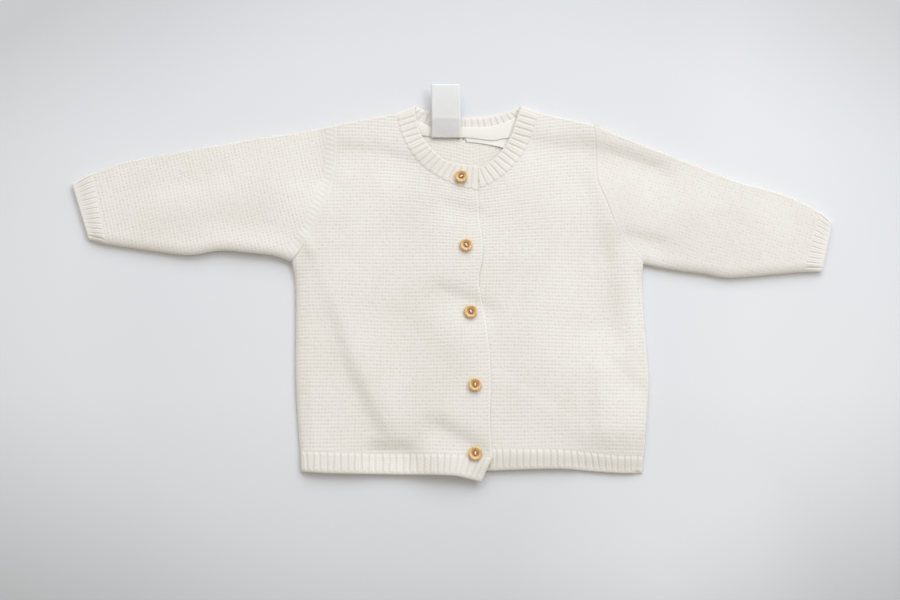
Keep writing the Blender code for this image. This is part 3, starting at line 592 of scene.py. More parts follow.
def knit_material(name, deep):
    """Ivory cotton, with painted shade, deeper and warmer, in the grooves, and with the yarn's
    twist and fuzz.
    """
    made, tree, shader, place = blank_material(name, 0.92, sheen=0.25)
    cloud = noise(tree, place, 22.0, 3.0)
    fibre = noise(tree, place, 2600.0, 4.0)
    low, high, crest = (0.82, 0.775, 0.70), (0.865, 0.84, 0.79), (0.875, 0.855, 0.81)
    # Painted shade: the lower the knit's tone, the deeper and warmer its colour, from deep in the
    # grooves up to the crest.
    depth = ramp(tree, stitch_height(tree), (0.0, deep), (0.35, low), (0.7, high), (1.0, crest))
    tint = ramp(tree, cloud, (0.35, (0.965, 0.96, 0.95)), (0.65, 1.0))
    speck = ramp(tree, fibre, (0.3, (0.94, 0.935, 0.92)), (0.7, 1.0))
    colour = times(tree, times(tree, depth, tint), speck)
    rough = maths(tree, "MULTIPLY_ADD", fibre, 0.12, 0.84)
    fuzz = bump(tree, fibre, 0.35, 0.0003)
    plug(tree, shader, {"Base Color": colour, "Roughness": rough, "Normal": fuzz})
    return made


def satin_material(name, low, high, glow=0.0):
    """Thin white satin, which lets light through by its glow."""
    made, tree, shader, place = blank_material(name, 0.38, sheen=0.1)
    colour = ramp(tree, noise(tree, place, 60.0, 2.0), (0.3, low), (0.7, high))
    threads = bump(tree, weave(tree, place, "X", 700.0, 1.0), 0.25, 0.0001)
    plug(tree, shader, {"Subsurface Weight": glow, "Subsurface Radius": (1.0, 1.0, 1.0)})
    plug(tree, shader, {"Subsurface Scale": 0.002, "Base Color": colour, "Normal": threads})
    return made


def tape_material():
    made, tree, shader, place = blank_material("tape", 0.85, sheen=0.3)
    twill = weave(tree, place, "DIAGONAL", 380.0, 0.6)
    colour = ramp(tree, twill, (0.0, (0.86, 0.84, 0.77)), (1.0, (0.91, 0.89, 0.83)))
    plug(tree, shader, {"Base Color": colour, "Normal": bump(tree, twill, 0.3, 0.0002)})
    return made


def wood_material():
    """Varnished light wood, with painted shade where the button is sunk."""
    made, tree, shader, place = blank_material("wood", 0.42)
    along = {"Vector": place, "Scale": (1.0, 0.16, 1.0), "Rotation": (0, 0, 0.5)}
    grain = noise(tree, node(tree, "ShaderNodeMapping", along).outputs[0], 900.0, 6.0)
    low, middle, high = (0.60, 0.34, 0.13), (0.80, 0.52, 0.24), (0.88, 0.64, 0.34)
    colour = ramp(tree, grain, (0.30, low), (0.50, middle), (0.72, high))
    low, middle = (0.42, 0.27, 0.15), (0.74, 0.60, 0.44)
    sunk = ramp(tree, stitch_height(tree), (0.0, low), (0.5, middle), (1.0, 1.0))
    plug(tree, shader, {"Coat Weight": 0.25, "Coat Roughness": 0.3})
    plug(tree, shader, {"Base Color": times(tree, colour, sunk)})
    plug(tree, shader, {"Normal": bump(tree, grain, 0.3, 0.0001)})
    return made


def thread_material():
    made, tree, shader, place = blank_material("thread", 0.6, sheen=0.3)
    twist = noise(tree, place, 2400.0, 2.0)
    colour = ramp(tree, twist, (0.3, (0.82, 0.80, 0.77)), (0.7, (0.93, 0.92, 0.90)))
    plug(tree, shader, {"Base Color": colour})
    return made


# The second colour of each knit is the painted shade at the bottom of its grooves.
GARTER_KNIT = knit_material("garter knit", (0.765, 0.685, 0.565))
RIB_KNIT = knit_material("rib knit", (0.80, 0.745, 0.66))
SATIN = satin_material("satin", (0.79, 0.785, 0.775), (0.83, 0.825, 0.815), glow=0.45)
PALE_SATIN = satin_material("pale satin", (0.83, 0.815, 0.78), (0.87, 0.855, 0.82))
TAPE_CLOTH = tape_material()
WOOD = wood_material()
THREAD = thread_material()


# ---- meshes
Skin = namedtuple("Skin", "verts knit maps faces")


def linked(name, data):
    made = bpy.data.objects.new(name, data)
    bpy.context.scene.collection.objects.link(made)
    return made


def make_piece(name, skin, material, caps=()):
    """An object from points in millimetres, with its stitches' numbers and height."""
    mesh = bpy.data.meshes.new(name)
    mesh.from_pydata(skin.verts * MM, [], skin.faces.tolist() + list(caps))
    mesh.validate()
    layer = mesh.attributes.new("knit", "FLOAT_VECTOR", "POINT")
    layer.data.foreach_set("vector", np.asarray(skin.knit, np.float32).ravel())
    corners = np.zeros(len(mesh.loops), np.int32)
    mesh.loops.foreach_get("vertex_index", corners)
    layer = mesh.uv_layers.new(name="OFBake")
    layer.data.foreach_set("uv", np.asarray(skin.maps, np.float32)[corners].ravel())
    mesh.shade_smooth()
    mesh.materials.append(material)
    return linked(name, mesh)


def joined(first, second):
    stacks = [np.vstack(pair) for pair in zip(first[:3], second[:3])]
    return Skin(*stacks, np.vstack([first.faces, second.faces + len(first.verts)]))


def without_loose(skin):
    used, faces = np.unique(skin.faces, return_inverse=True)
    return Skin(skin.verts[used], skin.knit[used], skin.maps[used], faces.reshape(-1, 4))


def open_edges(faces, count):
    """The edges that only one face uses, each in the order in which its face has it."""
    edges = np.concatenate([faces[:, [k, (k + 1) % 4]] for k in range(4)])
    codes = edges.min(axis=1).astype(np.int64) * count + edges.max(axis=1)
    _, first, uses = np.unique(codes, return_index=True, return_counts=True)
    return edges[first[uses == 1]]


def add_rim(skin, edges, inward, under_z, rolled):
    """Turns the open edges in by a lip. A cut edge first turns down, with its own copy of
    the edge's points, so that the face is shaded as flat up to it."""
    ids = np.unique(edges)
    number = np.full(len(skin.verts), -1)
    number[ids] = np.arange(ids.size)
    base = len(skin.verts)
    top_z = skin.verts[ids, 2]
    turn = np.sign(under_z[ids] - top_z)
    rim = skin.verts[ids].copy()
    rim[:, :2] += inward[ids] * np.where(rolled[ids], 0.4, 0.1)[:, None]
    rim[:, 2] = np.where(rolled[ids], top_z + 0.1 * turn, under_z[ids])
    lip = skin.verts[ids].copy()
    lip[:, :2] += inward[ids] * 4.0
    lip[:, 2] = under_z[ids]
    sewn = ids[~rolled[ids]]
    crest = np.arange(base)
    crest[sewn] = base + 2 * ids.size + np.arange(sewn.size)
    a, b = number[edges[:, 0]], number[edges[:, 1]]
    first = np.stack([crest[edges[:, 1]], crest[edges[:, 0]], base + a, base + b], axis=1)
    second = np.stack([base + b, base + a, base + ids.size + a, base + ids.size + b], axis=1)
    knit, maps = [np.vstack([old, old[ids], old[ids], old[sewn]]) for old in skin[1:3]]
    verts = np.vstack([skin.verts, rim, lip, skin.verts[sewn]])
    return Skin(verts, knit, maps, np.vstack([skin.faces, first, second]))


Cut = namedtuple("Cut", "plan u v faces on_edge near inward along")


def cut_knit(place, stitches, sides, per_wale=SAMPLES):
    """The stitches' grid, laid out by place(u, v) and cut to the outline that the sides
    make, in turn. sides is [(kind, line)], counter-clockwise, and stitches has the
    outline's points as numbers of stitches and ridges."""
    low, high = np.floor(stitches.min(axis=0)) - 2, np.ceil(stitches.max(axis=0)) + (2, 9)
    us = np.arange(low[0] * per_wale, high[0] * per_wale + 1) / per_wale
    vs = np.arange(low[1] * SAMPLES, high[1] * SAMPLES + 1) / SAMPLES
    u, v = [axis.ravel() for axis in np.meshgrid(us, vs)]
    plan = place(u, v)
    outline = outline_of(sides)
    inside = within(plan, outline)
    shape = (len(vs), len(us))
    near_edge = inside & ~deep(inside.reshape(shape)).ravel()
    away = distance(plan[near_edge], np.vstack([outline, outline[:1]]))[0]
    inside[np.flatnonzero(near_edge)[away < 0.3 * WALE / per_wale]] = False
    solid = inside.reshape(shape)
    i, j = np.nonzero(solid[:-1, :-1] | solid[1:, :-1] | solid[:-1, 1:] | solid[1:, 1:])
    corner = np.arange(u.size).reshape(shape)
    faces = [corner[i, j], corner[i, j + 1], corner[i + 1, j + 1], corner[i + 1, j]]
    used, faces = np.unique(np.stack(faces, axis=1), return_inverse=True)
    plan, u, v = plan[used], u[used], v[used]
    on_edge = ~inside[used]
    near, along_side = {}, {}
    nearest = np.full(used.size, -1)
    best = np.full(used.size, np.inf)
    foot = plan.copy()
    inward = np.zeros((used.size, 2))
    for index, (kind, line) in enumerate(sides):
        away, place_on, along_side[kind], heading = distance(plan, line)
        near[kind] = np.minimum(away, near.get(kind, np.inf))
        closer = away < best
        best[closer] = away[closer]
        nearest[closer] = index
        foot[closer] = place_on[closer]
        inward[closer] = np.stack([-heading[closer, 1], heading[closer, 0]], axis=1)
    plan[on_edge] = foot[on_edge]
    for kind in near:
        on_kind = np.array([side == kind for side, _ in sides])[nearest]
        near[kind] = np.where(on_edge & on_kind, 0.0, near[kind])
    return Cut(plan, u, v, faces.reshape(-1, 4), on_edge, near, inward, along_side)


def deep(solid):
    """Where a grid of flags is set with every neighbour two steps off set too."""
    for _ in range(2):
        inner = solid.copy()
        inner[1:] &= solid[:-1]
        inner[:-1] &= solid[1:]
        inner[:, 1:] &= solid[:, :-1]
        inner[:, :-1] &= solid[:, 1:]
        solid = inner
    return solid


# ---- panels
def turned_round(sides):
    return [(kind, line[::-1]) for kind, line in sides[::-1]]


def front_sides(rows, hem):
    """The outline of a front as (kind, line), counter-clockwise from above."""
    outer, inner = two_edges(rows)
    middle = (inner[:, 1] + outer[:, 1]) / 2
    knots = (middle - middle[0]) / (middle[-1] - middle[0])
    outer_at = spline(knots, outer, (ARMPIT_ROW,))
    inner_at = spline(knots, inner, (NECK_ROW,))
    arm_v, neck_v = knots[ARMPIT_ROW], knots[NECK_ROW]
    sides = [
        ("hem", run_through(two_edges(hem)[0], np.linspace(0, 1, 25))[::-1]),
        ("side", outer_at(np.linspace(0, arm_v, 25))),
        ("arm", outer_at(np.linspace(arm_v, 1, 33))),
        ("shoulder", np.array([outer[-1], inner[-1]])),
        ("neck", inner_at(np.linspace(1, neck_v, 41))),
        ("edge", inner_at(np.linspace(neck_v, 0, 41))),
    ]
    return turned_round(sides) if outer[0, 0] < 0 else sides


def back_sides():
    """The outline of the back panel: both sides, both shoulders and the neckline."""
    right = dict(front_sides(FRONT_RIGHT, HEM_RIGHT))
    left = dict(front_sides(FRONT_LEFT, HEM_LEFT))
    hem = run_through(two_edges(HEM_BACK)[0], np.linspace(0, 1, 25))
    neck = run_through(two_edges(BAND_BACK)[0], np.linspace(1, 0, 41))
    up = [(kind, left[kind]) for kind in ("side", "arm", "shoulder")]
    down = [(kind, right[kind]) for kind in ("shoulder", "arm", "side")]
    return [("hem", hem), *up, ("neck", neck), *down]


def neck_patch():
    """The part of the back's inside that shows in the neck, as one side."""
    neck = run_through(two_edges(BAND_BACK)[0], np.linspace(0.97, 0.03, 41)) - (0, 0.4)
    low = [(-50, 128), (-38, 100), (-12, 88), (16, 88), (38, 100), (49, 128)]
    return [("all", np.vstack([neck, low, neck[:1]]))]


def body_place(u, v):
    """Where a stitch of the body lies: the ridges sag towards the neckline."""
    x = WALE * u + 0.7 * np.sin(RIDGE * v / 31.0 + 0.4) * np.cos(WALE * u / 47.0)
    y = RIDGE * v
    y = y - SAG * np.clip(SAG_REACH - np.abs(x), 0, None) ** 2 * smooth((y - SAG_START) / SAG_OVER)
    y = y + 0.9 * np.sin(WALE * u / 23.0 + 0.6) * np.cos(RIDGE * v / 37.0 + 0.8)
    return np.stack([x, y], axis=1)


def cut_body(sides, per_wale=SAMPLES):
    return cut_knit(body_place, outline_of(sides) / (WALE, RIDGE), sides, per_wale)


def skin_of(cut, plan, z, tone, map_place, map_size):
    """A skin with its stitches' numbers, and with its plan fitted to a square of the
    unit square as its map for baked textures."""
    low, high = cut.plan.min(axis=0), cut.plan.max(axis=0)
    maps = np.array(map_place) + (cut.plan - low) / (high - low).max() * map_size
    knit = np.column_stack([cut.u, cut.v, np.clip(tone, 0, 1)])
    return Skin(np.column_stack([plan, z]), knit, maps, cut.faces)


def relief_of(cut, fade_kinds, fade):
    """The knit's height and, from 0 to 1, how much of it there is next to the seams."""
    flat = np.ones(len(cut.u))
    for kind in fade_kinds:
        flat = np.minimum(flat, smooth((cut.near[kind] + 0.15) / fade))
    return garter(cut.u, cut.v), flat


def arm_seam(plan):
    """How clearly the line of an armhole seam shows, from 0 to 1."""
    x, y = plan.T
    left = smooth((y - 50) / 12) * (0.5 + 0.5 * wave(y / 2.6))
    right = 0.55 * smooth((y - 76) / 14) * wave(y / 3.1)
    return np.where(x > 0, left, right)


def painted_edge_shade(away):
    """How much painted shade darkens the cloth near an upper edge."""
    return 0.6 * fading(away, 1.2) + 0.3 * fading(away, 4.0)


def swollen(cut, folded, height):
    """The plan of a cut whose folded edge bulges with each ridge."""
    return cut.plan - cut.inward * np.where(folded, 0.5 * (height - 0.5), 0.0)[:, None]


def knit_front(name, rows, hem, on_top):
    sides = front_sides(rows, hem)
    cut = cut_body(sides)
    near = cut.near
    height, flat = relief_of(cut, ("arm", "neck"), 1.3)
    # A smooth column along the front edge and a plain row along the hem
    beads = 0.62 + 0.28 * (1 - wave(cut.v))
    height = blend(height, beads, fading(near["edge"] - SELVEDGE + 0.5, 0.9))
    row = 0.82 - 0.15 * np.cos(2 * np.pi * cut.u)
    height = blend(height, row, fading(near["hem"] - 0.9, 0.8))
    sewn = arm_seam(cut.plan)
    dip = (0.1 + 0.3 * sewn) * fading(near["arm"], 1.2) + 0.1 * fading(near["neck"], 1.0)
    dip += 0.2 * fading(near["hem"], 0.7) + 0.6 * fading(near["edge"], 0.9)
    drop, fall = side_place(near["side"], near["arm"])
    mid = upper_mid(cut.plan, on_top) - fall
    base = FOLD_Z - drop
    top = mid + WALL / 2 + GARTER_RISE * flat * (height - GARTER_MEAN) - dip
    share = roll_share(near["side"], RIGHT_SIDE_REACH if on_top else LEFT_SIDE_REACH)
    share = np.minimum(share, roll_share(near["shoulder"], SHOULDER_REACH))
    z = base + share * (top - base)
    rolled = np.minimum(near["side"], near["shoulder"]) < 0.01
    plan = swollen(cut, cut.on_edge & rolled, height)
    tone = 1 - flat * (1 - height) - 0.75 * sewn * fading(near["arm"], 0.9)
    # Painted shade along the shoulder's edge.
    tone = tone - painted_edge_shade(near["shoulder"])
    skin = skin_of(cut, plan, z, tone, (0.01, 0.01), 0.98)
    edges = open_edges(skin.faces, len(z))
    skin = add_rim(skin, edges, cut.inward, np.minimum(mid - WALL / 2, z - 0.3), rolled)
    return make_piece(name, skin, GARTER_KNIT), area_of(sides)


def knit_back(name):
    """The back: its underside, and its inside where that shows in the neck."""
    sides = back_sides()
    cut = cut_body(sides, per_wale=2)
    near = cut.near
    height, flat = relief_of(cut, ("arm", "neck"), 1.3)
    to_fold = np.minimum(near["side"], near["shoulder"])
    base = FOLD_Z - side_place(near["side"], near["arm"])[0]
    hollow = GARTER_RISE * flat * (1 - height) + 0.5 * fading(near["arm"], 1.8)
    z = base - roll_share(to_fold, UNDER_REACH) * (base - hollow)
    # The shoulder's edge gets painted shade here too.
    tone = 1 - flat * (1 - height) - painted_edge_shade(near["shoulder"])
    skin = skin_of(cut, cut.plan, z, tone, (0.01, 0.01), 0.62)
    skin = skin._replace(faces=cut.faces[:, ::-1])
    edges = open_edges(skin.faces, len(z))
    skin = add_rim(skin, edges, cut.inward, np.maximum(WALL, z + 0.3), to_fold < 0.01)
    inner = cut_body(neck_patch())
    relief = garter(inner.u + 0.5, inner.v + 0.5)
    level = WALL + GARTER_RISE * (0.75 * relief - 0.55)
    # The inside in the neck takes a lower tone than its relief gives: painted shade that makes it
    # darker and warmer.
    skin = joined(skin, skin_of(inner, inner.plan, level, 0.85 * relief, (0.65, 0.01), 0.34))
    return make_piece(name, skin, GARTER_KNIT), area_of(sides)


def sleeve_share(to_low, to_high):
    return np.minimum(roll_share(to_low, LOW_REACH), roll_share(to_high, HIGH_REACH))


def sleeve_lift(plan, to_low):
    """The right sleeve's lower edge stands off the surface near the underarm."""
    return SLEEVE_LIFT * np.exp(-(((plan[:, 0] + 180) / 48) ** 2)) * fading(to_low, 26)


def knit_sleeve(name, rings, arm, along, fashioned):
    """A sleeve: both skins share one grid of stitches and meet along the two folds. Its
    ridges lie across the direction along, and plain stitches reach fashioned in from the
    armhole."""
    uppers, lowers = [run_through(edge, np.linspace(0, 1, 41)) for edge in two_edges(rings)]
    arm = arm if arm[0, 1] < arm[-1, 1] else arm[::-1]
    cuff_seam = np.array([uppers[0], lowers[0]])
    sides = [("cuff", cuff_seam), ("low", lowers), ("arm", arm), ("high", uppers[::-1])]
    if uppers[0, 0] > 0:
        sides = turned_round(sides)
    along = np.array(along) / math.hypot(*along)
    across = np.array([along[1], -along[0]])
    origin = (uppers[0] + lowers[0]) / 2

    def place(u, v):
        bend = 0.6 * np.sin(u * WALE / 17.0 + v * RIDGE / 41.0)
        return origin + np.outer(RIDGE * v + bend, along) + np.outer(WALE * u, across)

    off = outline_of(sides) - origin
    cut = cut_knit(place, np.column_stack([off @ across / WALE, off @ along / RIDGE]), sides)
    to_arm, to_low, to_high = [cut.near[kind] for kind in ("arm", "low", "high")]
    height, flat = relief_of(cut, ("cuff",), 0.8)
    head = slanting(to_arm, cut.along["arm"])
    height = blend(height, head, fading(to_arm - fashioned + 1.5, 2.5))
    mid = upper_mid(cut.plan, False)
    rise = mid + WALL / 2 - FOLD_Z + GARTER_RISE * flat * (height - GARTER_MEAN)
    sewn = arm_seam(cut.plan)
    dip = (0.1 + 0.3 * sewn) * fading(to_arm, 1.2) + 0.05 * fading(cut.near["cuff"], 1.0)
    fold_z = FOLD_Z + sleeve_lift(cut.plan, to_low)
    top_z = fold_z + sleeve_share(to_low, to_high) * (rise - dip)
    to_fold = np.minimum(to_low, to_high)
    depth = EDGE_R - GARTER_RISE * flat * (1 - height) - 0.6 * dip
    low_z = fold_z - roll_share(to_fold, UNDER_REACH) * depth
    folded = cut.on_edge & (to_fold < 0.01)
    plan = swollen(cut, folded, height)
    # The tone carries the armhole seam's darker line, and painted shade along the upper fold.
    tone = 1 - flat * (1 - height) - 0.75 * sewn * fading(to_arm, 0.9) - painted_edge_shade(to_high)
    upper = skin_of(cut, plan, top_z, tone, (0.01, 0.01), 0.97)
    lower = skin_of(cut, plan, low_z, tone, (0.01, 0.51), 0.97)
    count = len(plan)
    below = np.where(folded, 0, count) + np.arange(count)
    skin = joined(upper, lower)
    skin = skin._replace(faces=np.vstack([cut.faces, below[cut.faces[:, ::-1]]]))
    ends = open_edges(cut.faces, count)
    ends = ends[~folded[ends].all(axis=1)]
    edges = np.vstack([ends, below[ends[:, ::-1]]])
    inward = np.vstack([cut.inward, cut.inward])
    under = [np.minimum(mid - WALL / 2, top_z - 0.3), np.maximum(low_z + 0.3, WALL)]
    skin = add_rim(skin, edges, inward, np.concatenate(under), np.zeros(2 * count, bool))
    return make_piece(name, without_loose(skin), GARTER_KNIT), area_of(sides) * 2


# ---- ribbed strips
def across_strip():
    """Places across a strip, out along its ribbed face and back along its plain one, and
    which of them are on the ribbed face. They are closer at its round edges."""
    edge = np.array([0.0, 0.012, 0.04, 0.09])
    middle = np.linspace(edge[-1], 1 - edge[-1], FACE_ROWS)
    face = np.concatenate([edge[:-1], middle, 1 - edge[-2::-1]])
    plain = np.array([0.96, 0.8, 0.5, 0.2, 0.04])
    return np.concatenate([face, plain]), np.arange(len(face) + len(plain)) < len(face)


ACROSS, RIBBED = across_strip()


def loft(name, rings, material, knit=None, ring=False, inside_out=False):
    """A skin through closed rings of points, either capped or closed on itself."""
    rings = np.array(rings)
    knit = np.zeros(rings.shape) if knit is None else np.array(knit)
    sections, count = rings.shape[:2]
    number = np.arange(sections * count).reshape(sections, count)
    rows = np.vstack([number, number[:1]]) if ring else number
    turned = np.roll(rows, -1, axis=1)
    faces = np.stack([rows[:-1], turned[:-1], turned[1:], rows[1:]], axis=-1).reshape(-1, 4)
    caps = () if ring else (number[0][::-1].tolist(), number[-1].tolist())
    maps = np.meshgrid(np.linspace(0, 1, sections), np.linspace(0, 1, count), indexing="ij")
    maps = 0.01 + 0.98 * np.stack(maps, axis=-1).reshape(-1, 2)
    faces = faces[:, ::-1] if inside_out else faces
    skin = Skin(rings.reshape(-1, 3), knit.reshape(-1, 3), maps, faces)
    return make_piece(name, skin, material, caps)


def stitch_rows(p, rows, tone):
    return np.column_stack([np.full(len(rows), p), rows, tone])


def scallop(shape, size):
    """How far each rib reaches past the free edge, beside the furrows."""
    return (size * (shape - 0.5) * smooth((ACROSS - 0.7) / 0.3))[:, None]


def rib_strip(name, seam, free, heights, normals, ribs):
    """A ribbed strip between two lines of points. heights(plan, i) gives the middle of
    the cloth for the points of section i; normals points out of the ribbed face."""
    rings, knits = [], []
    for i, p in enumerate(ribs):
        depth = math.hypot(*(free[i] - seam[i]))
        outward = (free[i] - seam[i]) / depth
        tucked = seam[i] - TUCK * outward
        rows = ACROSS * depth / PLAIN_ROW
        from_seam, to_free = ACROSS * depth - TUCK, (1 - ACROSS) * depth
        shape = rib(p, rows) * (0.55 + 0.45 * smooth((from_seam + 0.3) / 2.2))
        shape = blend(0.8, shape, 0.15 + 0.85 * smooth((to_free - 0.8) / 1.6))
        relief = 1.5 * shape - 0.5
        relief = np.where(relief > 0, relief * smooth((from_seam + 0.2) / 2.4), relief)
        relief = HEM_RELIEF * relief - 0.5 * fading(to_free, 2.6)
        full = roll_share(np.minimum(ACROSS, 1 - ACROSS) * depth, WALL / 2)
        reach = full * np.where(RIBBED, WALL / 2 + relief, -WALL / 2)
        plan = tucked + ACROSS[:, None] * (free[i] - tucked) + outward * scallop(shape, 0.5)
        centre = np.column_stack([plan, heights(plan, i)])
        rings.append(centre + normals[i] * reach[:, None])
        knits.append(stitch_rows(p, rows, np.where(RIBBED, shape, 0.5)))
    return loft(name, rings, RIB_KNIT, knits)


END_STEPS = np.array([0.0, 0.35, 1.0, 1.9])  # sections of a hem where it rolls at its end
END_RUN = 2.6  # how far those reach


def hem_lines(rows):
    """Both edges of a hem as lines, its length and its number of ribs."""
    top, low = two_edges(rows)
    knots = by_length(top)
    top_at = spline(knots, top)
    length = steps_of(top_at(np.linspace(0, 1, 50))).sum()
    return top_at, spline(knots, low), length, round(length / RIB_PITCH)


def knit_hem(name, rows, on_top):
    top, low, length, ribs = hem_lines(rows)
    steps = np.linspace(END_RUN / length, 1, ribs * PER_RIB)
    steps = np.concatenate([END_STEPS / length, steps])
    lean = np.clip(1 - steps * length / EDGE_R, 0, 1)
    outward = (top(0) - top(0.03))[0]
    outward = lean[:, None] * outward / math.hypot(*outward)
    normals = np.column_stack([outward, np.sqrt(1 - lean**2)])
    # An edge that rolls has its middle in from the outline by half the wall
    seam, free = [line(steps) - WALL / 2 * outward for line in (top, low)]
    rises = roll_share(steps * length, RIGHT_SIDE_REACH if on_top else LEFT_SIDE_REACH)
    drops, falls = side_place(steps * length)

    def heights(plan, i):
        down = (plan - seam[i]) @ (free[i] - seam[i]) / ((free[i] - seam[i]) ** 2).sum()
        corner = CORNER_DROOP * smooth((steps[i] - 0.84) / 0.16)
        droop = (corner if on_top else HEM_DROOP) * smooth((down - 0.2) / 0.8)
        base = FOLD_Z - drops[i]
        return base + rises[i] * (upper_mid(plan, on_top) - falls[i] - droop - base)

    end = np.minimum((1 - steps) * length / END_RUN, 1)
    made = rib_strip(name, seam, free, heights, normals, blend(ribs, steps * ribs, end))
    return made, (HEM_DEPTH, length * MM)


def knit_back_hem(name):
    """The back's hem, whose ribs show underneath, so it has fewer sections."""
    top, low, length, ribs = hem_lines(HEM_BACK)
    ends = END_STEPS / length
    steps = np.linspace(END_RUN / length, 1 - END_RUN / length, ribs * 6)
    steps = np.concatenate([ends, steps, 1 - ends[::-1]])
    to_side = np.minimum(steps, 1 - steps) * length
    lean = np.clip(1 - to_side / EDGE_R, 0, 1)
    share = np.sqrt(1 - lean**2)
    outward = np.column_stack([np.where(steps < 0.5, -lean, lean), 0 * lean])
    seam, free = [line(steps) - WALL / 2 * outward for line in (top, low)]
    bases = FOLD_Z - side_place(to_side)[0]
    mids = bases - share * (bases - WALL / 2 - RIB_RISE)
    normals = np.column_stack([outward, -share])

    def heights(plan, i):
        return np.full(len(plan), mids[i])

    made = rib_strip(name, seam, free, heights, normals, steps * ribs)
    return made, (BACK_HEM_DEPTH, length * MM)


def knit_cuff(name, rings):
    """A ribbed tube, laid flat: an outer and an inner skin that meet at both ends."""
    high, low = two_edges(rings)
    depth = (math.hypot(*(high[1] - high[0])) + math.hypot(*(low[1] - low[0]))) / 2
    width = math.hypot(*(high[0] - low[0]))
    upward = (high[0] - low[0]) / width
    arc = math.pi / 2 * EDGE_R
    run = width - 2 * EDGE_R + 2 * arc
    ribs = round(run / CUFF_PITCH)
    places = ACROSS * (1 + TUCK / depth) - TUCK / depth
    full = roll_share(np.minimum(ACROSS, 1 - ACROSS) * depth, WALL / 2)
    sections, knits = [], []
    for q in np.linspace(0, 2, 2 * ribs * PER_RIB + 1)[:-1]:
        # From the lower fold to the upper one on top, and back underneath
        on_top = q < 1
        s = (q if on_top else 2 - q) * run
        to_end = min(s, run - s)
        bend = math.cos(min(to_end, arc) / EDGE_R)
        from_fold = EDGE_R * (1 - bend) + max(to_end - arc, 0)
        lean, inset = (-bend, from_fold) if 2 * s < run else (bend, width - from_fold)
        seam, mouth = low + inset / width * (high - low)
        plan = seam + places[:, None] * (mouth - seam)
        furrow = 1 - rib(q * ribs, places * depth / PLAIN_ROW, 0.6, 0.36)
        shape = 1 - furrow * (0.85 - 0.6 * smooth((places - 0.5) / 0.4))
        if on_top:
            # A crimped furrow near the lower fold: sunk into the surface, and darkened in colour,
            # which is painted shade.
            crimp_and_shade = smooth(np.minimum(places, 1 - places) / 0.2)
            crimp_and_shade = crimp_and_shade * math.exp(-(((inset - CRIMP_AT) / 0.7) ** 2))
            shape = shape - 0.55 * crimp_and_shade
            droop = CUFF_DROOP * smooth((places - 0.15) / 0.85)
            folds = fold_height(plan) - 0.35 * crimp_and_shade - droop
            rise = sleeve_share(inset, width - inset)
            relief = CUFF_RELIEF * (1.5 * shape - 1.0)
        else:
            folds = 0.0
            rise = -roll_share(from_fold, UNDER_REACH)
            relief = CUFF_RELIEF * np.minimum(1.5 * shape - 1.0, 0)
        # The skins' distance from the outer face, which is at 0
        off = np.where(RIBBED, full * (WALL / 2 + relief), -full * WALL / 2) - WALL / 2
        z = FOLD_Z + rise * (EDGE_R + off + folds)
        plan = plan + upward * (off * lean)[:, None]
        plan = plan + (mouth - seam) / math.hypot(*(mouth - seam)) * scallop(shape, 0.4)
        sections.append(np.column_stack([plan, z]))
        # Painted shade along the upper fold.
        tone = np.clip(shape - 0.6 * fading(width - inset, 1.6), 0, 1)
        knits.append(stitch_rows(q * ribs, ACROSS * depth, np.where(RIBBED, tone, 0.5)))
    made = loft(name, sections, RIB_KNIT, knits, ring=True, inside_out=high[0, 0] < 0)
    return made, (2 * run * MM, depth * MM)


def band_lines(rows):
    """Both edges of a strip as lines, and its length along the middle."""
    seams, frees = two_edges(rows)
    middle = (seams + frees) / 2
    knots = by_length(middle)
    return spline(knots, seams), spline(knots, frees), steps_of(middle).sum()


BandSection = namedtuple("BandSection", "seam free layer rise normal")


def band_stretch(lines, first, last, layer):
    """Sections of a stretch of neckband that lies flat."""
    seam, free, length = lines
    ribs = round((last - first) * length / RIB_PITCH)
    normal = np.array([0, 0, -1.0 if layer == "back" else 1.0])
    places = np.linspace(first, last, ribs * PER_RIB + 1)
    return [BandSection(seam(t)[0], free(t)[0], layer, 1.0, normal) for t in places]


def band_fold(front, front_end, back, back_end):
    """Sections of the one rib that goes round the fold at a shoulder, front to back."""
    run = front[1](front_end)[0] - front[0](front_end)[0]
    uphill = np.array([run[1], -run[0], 0]) / math.hypot(*run)
    uphill = uphill if uphill[1] > 0 else -uphill
    sections = []
    for angle in np.linspace(0, 180, PER_RIB + 1)[1:-1]:
        out, rise = math.sin(math.radians(angle)), math.cos(math.radians(angle))
        inset = EDGE_R - FOLD_R * out
        on_front, on_back = abs(front_end - inset / front[2]), abs(back_end - inset / back[2])
        to_back = min(max((angle - 60) / 60, 0), 1)
        seam, free = [
            blend(front[k](on_front)[0], back[k](on_back)[0], to_back) for k in (0, 1)
        ]
        normal = uphill * out + np.array([0, 0, rise])
        sections.append(BandSection(seam, free, "front", rise, normal))
    return sections


